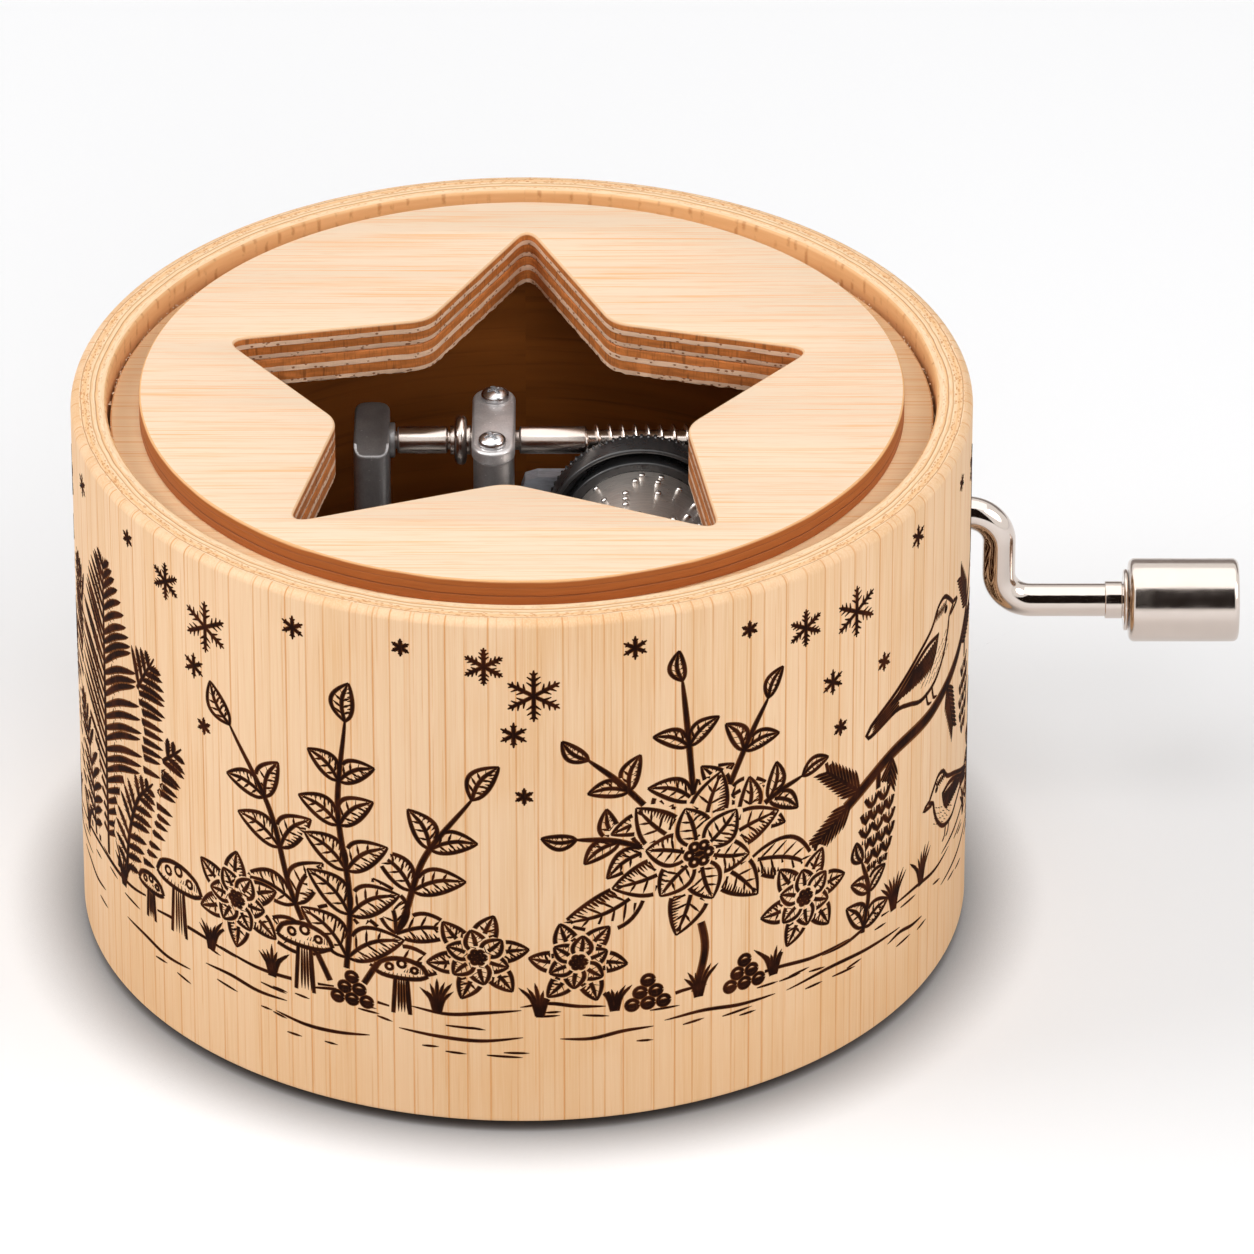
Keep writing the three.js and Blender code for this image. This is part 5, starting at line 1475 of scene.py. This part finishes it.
    def snow(self, drawing, base):
        rng = drawing.rng
        flakes = ((-13.5, 31.5, 2.6), (-5.2, 35.0, 1.2), (11.8, 33.6, 1.9), (15.0, 26.8, 1.3),
                  (-10.6, 25.4, 1.0), (5.4, 35.4, 0.9), (-15.6, 21.4, 0.9))
        for x, y, radius in flakes:
            place = base + complex(x + rng.uniform(-1, 1), y + rng.uniform(-0.7, 0.7))
            if not any(drawing.hidden(place + rect(radius, TURN * i / 6)) for i in range(6)):
                drawing.snowflake(place, radius)

    def border(self, drawing, radius):
        """Drift lines under the plants all the way round."""
        length = TURN * radius
        for run in range(self.DRIFTS):
            start = -length / 2 + length * run / self.DRIFTS
            reach = drawing.rng.uniform(7, 14)
            drawing.ground(start, start + reach, 12.6 + drawing.rng.uniform(-0.4, 0.6), 0.35)
        for run in range(self.LOW_DRIFTS):
            start = -length / 2 + length * (run + drawing.rng.random() * 0.5) / self.LOW_DRIFTS
            reach = drawing.rng.uniform(6, 15)
            height = drawing.rng.uniform(8.2, 11.2)
            drawing.ground(start, start + reach, height, 0.3)


class MUSIC_BOX_OT_lining(bpy.types.Operator):
    """Makes the dark lining, partly real stain and partly painted shade, and finishes the base, the pad and
    the block under the movement
    """

    bl_idname = "music_box.lining"
    bl_label = "Lining and base"

    SIDES = 192
    THICKNESS = 2.0

    def execute(self, context):
        looks = context.scene.music_box_wood
        low, high = box_mm("inner_liner")
        outer, inner = high.x, high.x - self.THICKNESS
        stain = stained_wood(looks, outer)
        profile = [(inner, low.z), (outer, low.z), (outer, high.z), (inner, high.z), (inner, low.z)]
        liner = Shape().lathe(profile, self.SIDES)
        piece = liner.make("stained_lining", [stain], "root", "stained_wood", ["inner_liner"])
        drill(piece, box_mm("wall_bushing")[0].x - self.THICKNESS, outer + self.THICKNESS)
        board = lid_wood("base_wood", looks.side, looks.side_line)
        # The block under the movement takes the same dark colour, partly painted shade.
        dark = lid_wood("block_wood", looks.stain, darker(looks.stain, 2.0))
        dress(["base_board"], board, 0.2)
        dress(["riser_block"], dark, 0.3)
        dress(["base_pad"], felt_finish(), 0.1)
        return {"FINISHED"}


def screw_head(shape, middle, radius, height, crossed, turn):
    """A pan head with its driver recess pressed in, drawn as rings whose height follows the recess."""
    rings = 40
    sides = 144
    slot_half = 0.1 * radius
    slot_reach = (0.52 if crossed else 1.05) * radius
    points = []
    for ring in range(rings + 1):
        share = ring / rings
        away = radius * share
        for side in range(sides):
            angle = TURN * side / sides
            x, y = away * cos(angle), away * sin(angle)
            dome = height * (0.3 + 0.7 * sqrt(max(0, 1 - share ** 2.8)))
            bars = [(abs(y), abs(x))] + ([(abs(x), abs(y))] if crossed else [])
            sunk = 0
            for across, along in bars:
                wall = 1 - min(1, max(0, (across - slot_half) / (0.05 * radius)))
                end = 1 - min(1, max(0, (along - slot_reach) / (0.07 * radius)))
                sunk = max(sunk, min(wall, end))
            points.append((x, y, dome - 0.62 * height * sunk))
    faces = []
    for ring in range(rings):
        for side in range(sides):
            after = (side + 1) % sides
            low, high = ring * sides, (ring + 1) * sides
            faces.append([low + side, high + side, high + after, low + after])
    rim = len(points)
    points.extend((x, y, 0) for x, y in ring_outline(radius, sides))
    for side in range(sides):
        after = (side + 1) % sides
        faces.append([rings * sides + side, rim + side, rim + after, rings * sides + after])
    faces.append([rim + side for side in range(sides)][::-1])
    place = Matrix.Translation(middle) @ Matrix.Rotation(turn, 4, "Z")
    shape.add(points, faces, place=place)


class MUSIC_BOX_OT_frame(bpy.types.Operator):
    """Makes the cast posts and the bolted cap, and finishes the bedplate"""

    bl_idname = "music_box.frame"
    bl_label = "Posts and bedplate"

    EDGE = 0.28
    BEVEL = 1.1
    BOSS_RADIUS = 1.6
    CORNER = 1.4
    CAP_EDGE = 0.3
    FOOT = 20.1
    END_WIDTH = 3.2
    LEAN = 0.95
    BOSS_EDGE = 0.16
    SINK = 0.05
    BLOCK_DROP = 3.2
    BLOCK_EDGE = 0.22
    STEM_FRONT = 10.9
    STEM_CORNER = 1.5
    STEM_EDGE = 0.1
    WASHER = (1.38, 1.62)
    WASHER_STEP = 0.12
    WASHER_SINK = 0.06

    def execute(self, context):
        looks = context.scene.music_box_metal
        self.cast = cast_finish("cast_metal", looks.cast)
        # Painted light: the cap's copy of the casting is 2.2 times lighter than the posts', standing in for
        # the light on its top.
        self.cap_cast_painted_light = cast_finish("cap_metal", darker(looks.cast, 2.2))
        self.end_post()
        self.bearing_post()
        self.cap()
        dress(["bedplate"], self.cast, 0.25)
        return {"FINISHED"}

    def end_post(self):
        low, high = box_mm("end_post")
        shaft = centre_mm("worm_shaft")
        left, right = low.x, low.x + self.END_WIDTH
        corners = [(left, low.y), (right, low.y), (right, high.y), (left, high.y)]
        outline = soften_ring(corners, [self.CORNER * 0.7, self.CORNER * 0.7, self.CORNER, self.CORNER], 5)
        base = max(low.z, self.FOOT)
        post = Shape()
        rows = [(0.0, base), (0.0, high.z - self.EDGE)]
        rows += arc(self.EDGE, high.z - self.EDGE, self.EDGE, 180, 90, 4)
        layers = []
        for amount, height in rows:
            ring = []
            for x, y in inset(outline, amount):
                front = max(0.0, low.y + self.BEVEL + amount - y)
                lean = front if height > base else 0.0
                ring.append((x, y, height - lean * self.LEAN))
            layers.append(ring)
        post.loft(layers)
        reach = high.x - right
        boss = [(0, 0), (self.BOSS_RADIUS, 0), (self.BOSS_RADIUS, reach), (0, reach)]
        post.lathe(soften(boss, self.BOSS_EDGE, 3), 32, along_x(shaft, right - self.SINK))
        post.make("end_post_casting", [self.cast], "root", "cast_metal", ["end_post"])

    def bearing_post(self):
        low, high = box_mm("bearing_post")
        block_low = centre_mm("worm_shaft").z - self.BLOCK_DROP
        front = self.STEM_FRONT
        stem = [(low.x, front), (high.x, front), (high.x, high.y), (low.x, high.y)]
        post = Shape()
        post.prism(self.bar(low, high, 14), block_low, high.z, self.BLOCK_EDGE)
        post.prism(soften_ring(stem, [self.STEM_CORNER], 5), self.FOOT, block_low + 0.5, self.STEM_EDGE)
        post.make("bearing_post_casting", [self.cast], "root", "cast_metal", ["bearing_post"])

    def bar(self, low, high, sides):
        """A bar with half round ends that fills a box as seen from above."""
        outline = bar_outline(high.x - low.x, high.y - low.y, sides)
        return [(x + (low.x + high.x) / 2, y + (low.y + high.y) / 2) for x, y in outline]

    def cap(self):
        low, high = box_mm("bearing_cap")
        inner, outer = self.WASHER
        step = self.WASHER_STEP
        cap = Shape()
        cap.prism(self.bar(low, high, 20), low.z, high.z, self.CAP_EDGE, steps=4, low_edge=0.1)
        for node in ("cap_screw_rear", "cap_screw_front"):
            screw = centre_mm(node)
            ring = [(inner, 0), (outer, 0.02), (outer, step), (inner, step), (inner, 0)]
            cap.lathe(ring, 48, Matrix.Translation((screw.x, screw.y, high.z - self.WASHER_SINK)))
        cap.make("bearing_cap_casting", [self.cap_cast_painted_light], "root", "cast_metal", ["bearing_cap"])


class MUSIC_BOX_OT_screws(bpy.types.Operator):
    """Makes the heads and shanks of all the movement's screws"""

    bl_idname = "music_box.screws"
    bl_label = "Screws"

    CROSSED = ["cap_screw_rear", "cap_screw_front", "comb_screw_rear", "comb_screw_front"]
    SLOTTED = ["bedplate_screw_1", "bedplate_screw_2", "bedplate_screw_3", "bedplate_screw_4",
               "rear_bracket_screw_left", "rear_bracket_screw_right", "front_bracket_screw_left",
               "front_bracket_screw_right", "transfer_bracket_screw"]
    HEAD_SHARE = 0.66
    SHANK_SHARE = 0.6
    RECESS_SHARP = radians(50)

    def execute(self, context):
        zinc = polished("bright_zinc", context.scene.music_box_metal.zinc, 0.2, 0.12)
        rng = random.Random(3)
        for crossed, names in ((True, self.CROSSED), (False, self.SLOTTED)):
            for name in names:
                low, high = box_mm(name)
                middle = (low + high) / 2
                radius = (high.x - low.x) / 2
                head = self.HEAD_SHARE * radius
                bottom = high.z - head
                shape = Shape()
                turn = 0.5 if name == "cap_screw_front" else rng.uniform(0.1, 1.4)
                screw_head(shape, Vector((middle.x, middle.y, bottom)), radius, head, crossed, turn)
                thin = radius * self.SHANK_SHARE
                shank = [(0, low.z), (thin, low.z), (thin, bottom), (0, bottom)]
                shape.lathe(shank, 24, Matrix.Translation((middle.x, middle.y, 0)))
                shape.make(name + "_turned", [zinc], "root", "screw_steel", [name], self.RECESS_SHARP)
        dress(["base_screw_left", "base_screw_right"], zinc, 0.05)
        return {"FINISHED"}


class MUSIC_BOX_OT_worm(bpy.types.Operator):
    """Makes the polished worm shaft, its collar and the worm's ridge"""

    bl_idname = "music_box.worm"
    bl_label = "Worm shaft"

    SIDES = 64
    BODY = 1.26
    JOURNAL = 0.9
    CORE = 0.94
    SHOULDER = 5.7
    CREST = 1.5
    PITCH = 1.15
    TURNS = 9
    STEPS = 40
    CHAMFER = 0.15
    TIP = 0.8
    STATIONS = (-11.4, -6.85, -0.4, 20.6)
    RUN_OUT = 0.45
    COLLAR_NECK = 1.35
    COLLAR_CROWN = 0.575
    COLLAR_EDGE = 0.08

    def execute(self, context):
        looks = context.scene.music_box_metal
        nickel = polished("worm_nickel", looks.nickel, 0.2, 0.08)
        low, high = box_mm("worm_shaft")
        gear = centre_mm("drive_gear")
        axis = centre_mm("worm_shaft")
        place = along_x(axis)
        worm_end = gear.x + self.TURNS * self.PITCH / 2 + self.RUN_OUT
        cut = self.CHAMFER
        body, journal, shoulder = self.BODY, self.JOURNAL, self.SHOULDER
        left, neck, bearing, right = self.STATIONS
        corners = [
            (0, low.x), (self.TIP, low.x), (self.TIP, left), (body - cut, left), (body, left + cut),
            (body, neck - cut), (body - cut, neck), (journal, neck), (journal, bearing),
            (body - cut, bearing),
            (body, bearing + cut), (body, shoulder - cut), (body - cut, shoulder), (self.CORE, shoulder),
            (self.CORE, worm_end), (body, worm_end), (body, right), (journal, right), (journal, high.x),
            (0, high.x),
        ]
        shaft = Shape().lathe(soften(corners, 0.05, 2), self.SIDES, place)
        self.ridge(shaft, place, gear.x)
        shaft.make("worm_shaft_polished", [nickel], "worm", "nickel", ["worm_shaft"])
        self.collar(nickel)
        brass = brushed("gear_brass", looks.brass, (0.8, 6.0, 6.0), 0.3)
        dress(["worm_pinion", "crank_pinion"], brass, 0.04)
        return {"FINISHED"}

    def ridge(self, shape, place, middle):
        """A thin polished ridge wound round the core, tapered out at both ends."""
        section = [(-0.19, 0), (-0.15, 0.6), (-0.09, 0.93), (0, 1), (0.09, 0.93), (0.15, 0.6), (0.19, 0)]
        steps = self.TURNS * self.STEPS
        layers = []
        for step in range(steps + 1):
            angle = TURN * (step - steps / 2) / self.STEPS
            along = middle + self.PITCH * (step - steps / 2) / self.STEPS
            ends = min(1.0, min(step, steps - step) / (self.STEPS / 3))
            rise = (self.CREST - self.CORE) * ends
            layer = []
            for across, up in section:
                away = self.CORE - 0.03 + (rise + 0.03) * up
                layer.append((away * cos(angle), away * sin(angle), along + across))
            layer.append(((self.CORE - 0.2) * cos(angle), (self.CORE - 0.2) * sin(angle), along))
            layers.append(layer)
        shape.loft(layers, place)

    def collar(self, nickel):
        low, high, middle, outer = turned_mm("thrust_collar")
        half, neck = self.COLLAR_CROWN, self.COLLAR_NECK
        ends = (high.x - low.x) / 2
        bore = self.JOURNAL + 0.05
        crown = arc(outer - half, 0, half, -90, 90, 12)
        lower = soften([(bore, -ends), (neck, -ends), (neck, -half)], self.COLLAR_EDGE, 2)
        upper = soften([(neck, half), (neck, ends), (bore, ends)], self.COLLAR_EDGE, 2)
        ring = Shape().lathe([*lower, *crown, *upper, (bore, -ends)], 64, along_x(middle, middle.x))
        ring.make("thrust_collar_polished", [nickel], "worm", "nickel", ["thrust_collar"])


class MUSIC_BOX_OT_gear(bpy.types.Operator):
    """Makes the black drive gear: toothed rim, wide band with a serrated edge, and a ring inside it"""

    bl_idname = "music_box.gear"
    bl_label = "Drive gear"

    TEETH = 32
    RIM_WIDTH = 2.5
    TOOTH_DEPTH = 0.62
    HUB = 2.6
    NECK = 5.2
    BAND_BACK = 1.6
    BAND_WIDTH = 2.8
    BAND_WALL = 0.55
    GROOVE_DEPTH = 1.6
    RING = 7.4
    RING_PROUD = 0.14
    SPIGOT = 5.7
    EDGE = 0.22
    SERRATION = 0.3
    SERRATIONS = 84
    BAND_STEP = 0.12
    WORM_PITCH_RADIUS = 1.175
    WORM_PITCH = 1.15
    TIP_OVER_PITCH = 0.33
    TOOTH_FORM = ((-0.5, 1), (-0.3, 1), (-0.22, 0.65), (-0.15, 0.15), (-0.09, 0), (0.09, 0), (0.15, 0.15),
                  (0.22, 0.65), (0.3, 1))
    SERRATION_FORM = ((-0.5, 1.0), (-0.24, 0.8), (-0.1, 0.12), (0.1, 0.0), (0.24, 0.25))
    SERRATION_ROWS = ((0.14, 0.0), (0.0, 0.1), (0.0, 0.46), (0.16, 0.62))

    def execute(self, context):
        looks = context.scene.music_box_metal
        low, high = box_mm("drive_gear")
        arbor = centre_mm("arbor")
        shaft = centre_mm("worm_shaft")
        band = (high.x - low.x) / 2
        pitch_radius = self.TEETH * self.WORM_PITCH / TURN
        place = Matrix.Translation((arbor.x, shaft.y, arbor.z)) @ TOWARDS_FRONT
        black = plastic_finish(looks.plastic)
        gear = Shape()
        self.rim(gear, pitch_radius, place)
        self.serrated_edge(gear, band, place)
        half = self.RIM_WIDTH / 2
        front = self.BAND_BACK + self.BAND_WIDTH
        groove = front - self.GROOVE_DEPTH
        face = front + self.RING_PROUD
        end = shaft.y - low.y
        back = shaft.y - high.y
        smooth = band - self.BAND_STEP
        corners = [
            (0, back), (self.HUB, back), (self.HUB, 0.3 - half), (self.NECK, 0.3 - half),
            (self.NECK, self.BAND_BACK + 0.05), (smooth, self.BAND_BACK + 0.05), (smooth, front),
            (band - self.BAND_WALL, front), (band - self.BAND_WALL, groove), (self.RING, groove),
            (self.RING, face), (self.SPIGOT, face), (self.SPIGOT, end), (0, end),
        ]
        gear.lathe(soften(corners, self.EDGE, 4), 168, place)
        gear.make("drive_gear_moulded", [black], "cylinder", "black_plastic", ["drive_gear"])
        return {"FINISHED"}

    def rim(self, shape, pitch_radius, place):
        """The toothed rim: each layer is turned a little more, to follow the worm's lead."""
        outer = pitch_radius + self.TIP_OVER_PITCH
        first_tooth = pi / 2 + pi / self.TEETH
        turn_rate = self.WORM_PITCH / (TURN * self.WORM_PITCH_RADIUS * pitch_radius)
        half = self.RIM_WIDTH / 2
        edge = 0.16
        rows = [(edge, -half), (0.05, -half + 0.06), (0, -half + edge), (0, 0), (0, half - edge),
                (0.05, half - 0.06), (edge, half)]
        layers = [self.tooth_ring(self.TEETH, self.TOOTH_FORM, outer - drop, self.TOOTH_DEPTH, along,
                                  first_tooth + along * turn_rate) for drop, along in rows]
        self.closed_ring(shape, layers, self.NECK - 0.2, 0.1, place)

    def closed_ring(self, shape, layers, inner, sink, place):
        """Skins outlines of one count round the axis, and closes them along an inner radius."""
        first, last = layers[0][0][2] + sink, layers[-1][0][2] - sink
        back = [(*(Vector(point[:2]).normalized() * inner), first) for point in layers[0]]
        front = [(*(Vector(point[:2]).normalized() * inner), last) for point in layers[-1]]
        shape.loft([back, *layers, front], place, closed=True)

    def serrated_edge(self, shape, band, place):
        """Fine teeth round the band's rear edge."""
        layers = [self.tooth_ring(self.SERRATIONS, self.SERRATION_FORM, band - drop, self.SERRATION,
                                  self.BAND_BACK + along) for drop, along in self.SERRATION_ROWS]
        self.closed_ring(shape, layers, band - 0.9, 0.05, place)

    def tooth_ring(self, teeth, form, outer, depth, along, turn=0.0):
        """One layer of teeth. The form gives places across a tooth, and how far each sinks."""
        ring = []
        for tooth in range(teeth):
            for across, sunk in form:
                angle = turn + TURN * (tooth + across) / teeth
                away = outer - depth * sunk
                ring.append((away * cos(angle), away * sin(angle), along))
        return ring


class MUSIC_BOX_OT_cylinder(bpy.types.Operator):
    """Makes the brushed cylinder with its tune pins, its end cap and its arbor"""

    bl_idname = "music_box.cylinder"
    bl_label = "Pinned cylinder"

    SIDES = 128
    WALL = 0.8
    PIN_RADIUS = 0.3
    RADIUS = 6.6
    TEETH = 18
    FIRST_TOOTH = 1.1
    LAST_TOOTH = 1.35
    STEPS = 36
    STRIDES = (7, 11)
    EXTRA_PINS = 110
    EDGE = 0.12
    PIN_REACH = 0.42
    PIN_STEEL = (0.82, 0.8, 0.78)

    def execute(self, context):
        looks = context.scene.music_box_metal
        low, high, _, pin_tip = turned_mm("pinned_cylinder")
        cap = centre_mm("arbor")
        radius = self.RADIUS
        length = high.y - low.y
        place = Matrix.Translation((cap.x, high.y, cap.z)) @ TOWARDS_FRONT
        metal = brushed("cylinder_metal", looks.drum, (0.3, 8.0, 0.3), 0.32, 0.04, 0.8)
        bright = polished("pin_steel", self.PIN_STEEL, 0.22, 0.1)
        shape = Shape()
        inner = radius - self.WALL
        tube = soften([(inner, 0), (radius, 0), (radius, length), (inner, length)], self.EDGE, 3)
        shape.lathe([*tube, (inner, 0)], self.SIDES, place)
        for angle, along in self.pin_places(length):
            self.pin(shape, radius, min(pin_tip, radius + self.PIN_REACH), angle, along, place)
        shape.make("pinned_cylinder_brushed", [metal, bright], "cylinder", "cylinder_metal",
                   ["pinned_cylinder"], radians(50))
        dress(["cylinder_cap"], plastic_finish(looks.plastic), 0.15)
        dress(["arbor"], polished("arbor_steel", looks.zinc, 0.2, 0.1), 0.05)
        return {"FINISHED"}

    def pin_places(self, length):
        """The tune's pins, and then more at free steps of the same teeth."""
        pitch = (length - self.FIRST_TOOTH - self.LAST_TOOTH) / (self.TEETH - 1)
        places = []
        for step in range(self.STEPS):
            for voice, stride in enumerate(self.STRIDES):
                tooth = (step * stride + step // stride + voice) % self.TEETH
                angle = TURN * (step + voice / len(self.STRIDES)) / self.STEPS
                places.append((angle, self.FIRST_TOOTH + tooth * pitch))
        rng = random.Random(19)
        while len(places) < self.STEPS * len(self.STRIDES) + self.EXTRA_PINS:
            angle = TURN * (rng.randrange(self.STEPS * 2) + 0.5) / (self.STEPS * 2)
            along = self.FIRST_TOOTH + rng.randrange(self.TEETH) * pitch
            if all(abs(angle - a) + abs(along - b) / self.RADIUS > 0.11 for a, b in places):
                places.append((angle, along))
        return places

    def pin(self, shape, radius, tip, angle, along, place):
        top = tip - 0.02
        crown = top - self.PIN_RADIUS * 0.5
        profile = [(0, radius - 0.15), (self.PIN_RADIUS, radius - 0.15), (self.PIN_RADIUS, crown)]
        for across, up in arc(0, 0, 1, 0, 90, 4)[1:-1]:
            profile.append((self.PIN_RADIUS * across, crown + (top - crown) * up))
        profile.append((0, top))
        upright = Matrix.Rotation(-pi / 2, 4, "X")
        turned = place @ Matrix.Translation((0, 0, along)) @ Matrix.Rotation(angle, 4, "Z") @ upright
        shape.lathe(profile, 14, turned, 1)


class MUSIC_BOX_OT_comb(bpy.types.Operator):
    """Finishes the steel comb and the brackets"""

    bl_idname = "music_box.comb"
    bl_label = "Comb and brackets"

    SPRING_STEEL = (0.42, 0.41, 0.4)

    def execute(self, context):
        looks = context.scene.music_box_metal
        steel = brushed("comb_steel", self.SPRING_STEEL, (0.5, 5.0, 5.0), 0.3)
        sheet = brushed("bracket_steel", looks.sheet, (0.8, 3.0, 4.0), 0.42, 0.01, 0.2)
        brass = brushed("bush_brass", looks.brass, (0.8, 6.0, 6.0), 0.3)
        dress(["comb"], steel, 0.06)
        dress(["rear_arbor_bracket", "front_arbor_bracket", "transfer_bracket"], sheet, 0.18)
        dress(["wall_bushing"], brass, 0.12)
        return {"FINISHED"}


class MUSIC_BOX_OT_crank(bpy.types.Operator):
    """Makes the bent crank rod, its sleeve and washer, and the turned knob"""

    bl_idname = "music_box.crank"
    bl_label = "Crank and knob"

    ROD = 1.5
    SIDES = 64
    BEND_X = 40.1
    BEND = 3.0
    BEND_STEPS = 20
    SPINDLE_START = 28.1
    JOURNAL = 1.0
    PIN = 1.0
    KNOB_EDGE = 0.55
    KNOB_BORE = 8.1
    RING_GAP = 0.03
    FACE_RIM = (1.1, 1.35)
    FACE_DISH = 0.12

    def execute(self, context):
        looks = context.scene.music_box_metal
        nickel = polished("crank_nickel", looks.nickel, 0.07, 0.07)
        knob_nickel = polished("knob_nickel", looks.nickel, 0.14, 0.08)
        self.rod(nickel)
        self.rings(nickel)
        self.knob(knob_nickel)
        return {"FINISHED"}

    def rod(self, nickel):
        low, high = box_mm("crank_rod")
        spindle = centre_mm("wall_bushing")
        handle_z = centre_mm("knob").z
        y = spindle.y
        bend, start_x = self.BEND, self.BEND_X
        end = box_mm("knob_washer")[0].x
        line = [(self.SPINDLE_START, spindle.z), (start_x - 4, spindle.z)]
        line += arc(start_x, spindle.z - bend, bend, 90, 0, self.BEND_STEPS)
        line += arc(start_x + 2 * bend, handle_z + bend, bend, 180, 270, self.BEND_STEPS)
        line.append((end, handle_z))
        rod = Shape().tube([(x, y, z) for x, z in line], self.ROD, self.SIDES)
        inside = self.SPINDLE_START + 0.1
        journal = [(0, low.x), (self.JOURNAL, low.x), (self.JOURNAL, inside), (0, inside)]
        rod.lathe(soften(journal, 0.15, 3), 32, along_x(spindle))
        pin = [(0, end - 0.1), (self.PIN, end - 0.1), (self.PIN, high.x), (0, high.x)]
        rod.lathe(pin, 32, Matrix.Translation((0, y, handle_z)) @ ALONG_X)
        rod.make("crank_rod_polished", [nickel], "crank", "nickel", ["crank_rod"])

    def rings(self, nickel):
        """The turned rings on the crank: sleeve, washer and the spindle's collar."""
        for node, inner, edge in (("crank_sleeve", self.ROD, 0.1), ("knob_washer", self.PIN, 0.22),
                                  ("spindle_collar", self.ROD, 0.2)):
            low, high, middle, outer = turned_mm(node)
            bore = inner + self.RING_GAP
            corners = [(bore, low.x), (outer, low.x), (outer, high.x), (bore, high.x)]
            ring = Shape().lathe([*soften(corners, edge, 4), corners[0]], self.SIDES, along_x(middle))
            ring.make(node + "_polished", [nickel], "crank", "nickel", [node])

    def knob(self, nickel):
        low, high, middle, outer = turned_mm("knob")
        bore, bottom = self.PIN + 0.06, low.x + self.KNOB_BORE
        edge = self.KNOB_EDGE
        body = [(0, bottom), (bore, bottom), (bore, low.x)]
        body += arc(outer - edge, low.x + edge, edge, -90, 0, 7)
        body += arc(outer - edge, high.x - edge, edge, 0, 90, 7)
        crest, dip = self.FACE_RIM
        dished = high.x - self.FACE_DISH
        body += [(outer - crest, high.x), (outer - dip, dished), (0, dished)]
        knob = Shape().lathe(body, 96, along_x(middle))
        knob.make("knob_turned", [nickel], "knob", "nickel", ["knob"])


class MUSIC_BOX_PT_panel(bpy.types.Panel):
    """Lists the pieces and their settings in the sidebar"""

    bl_idname = "MUSIC_BOX_PT_panel"
    bl_label = "Hand crank music box"
    bl_space_type = "VIEW_3D"
    bl_region_type = "UI"
    bl_category = "Music box"

    def draw(self, context):
        for maker in MAKERS:
            self.layout.operator(maker.bl_idname)
        for word, group in SETTINGS.items():
            column = self.layout.column(align=True)
            column.label(text=group.__doc__)
            for name in group.__annotations__:
                column.prop(getattr(context.scene, word), name)


MAKERS = (
    MUSIC_BOX_OT_stage,
    MUSIC_BOX_OT_wall,
    MUSIC_BOX_OT_lid,
    MUSIC_BOX_OT_frieze,
    MUSIC_BOX_OT_lining,
    MUSIC_BOX_OT_frame,
    MUSIC_BOX_OT_screws,
    MUSIC_BOX_OT_worm,
    MUSIC_BOX_OT_gear,
    MUSIC_BOX_OT_cylinder,
    MUSIC_BOX_OT_comb,
    MUSIC_BOX_OT_crank,
)
SETTINGS = {
    "music_box_wood": WoodLooks,
    "music_box_lid": LidSizes,
    "music_box_metal": MetalLooks,
    "music_box_frieze": FriezeSizes,
    "music_box_studio": StudioLooks,
}


def register():
    for group in SETTINGS.values():
        bpy.utils.register_class(group)
    for word, group in SETTINGS.items():
        setattr(bpy.types.Scene, word, bpy.props.PointerProperty(type=group))
    for maker in (*MAKERS, MUSIC_BOX_PT_panel):
        bpy.utils.register_class(maker)


def unregister():
    for maker in (*MAKERS, MUSIC_BOX_PT_panel):
        bpy.utils.unregister_class(maker)
    for word, group in SETTINGS.items():
        delattr(bpy.types.Scene, word)
        bpy.utils.unregister_class(group)


def main():
    register()
    bpy.ops.music_box.stage()
    bpy.ops.music_box.wall()
    bpy.ops.music_box.lid()
    bpy.ops.music_box.frieze()
    bpy.ops.music_box.lining()
    bpy.ops.music_box.frame()
    bpy.ops.music_box.screws()
    bpy.ops.music_box.worm()
    bpy.ops.music_box.gear()
    bpy.ops.music_box.cylinder()
    bpy.ops.music_box.comb()
    bpy.ops.music_box.crank()


if __name__ == "__main__":
    main()
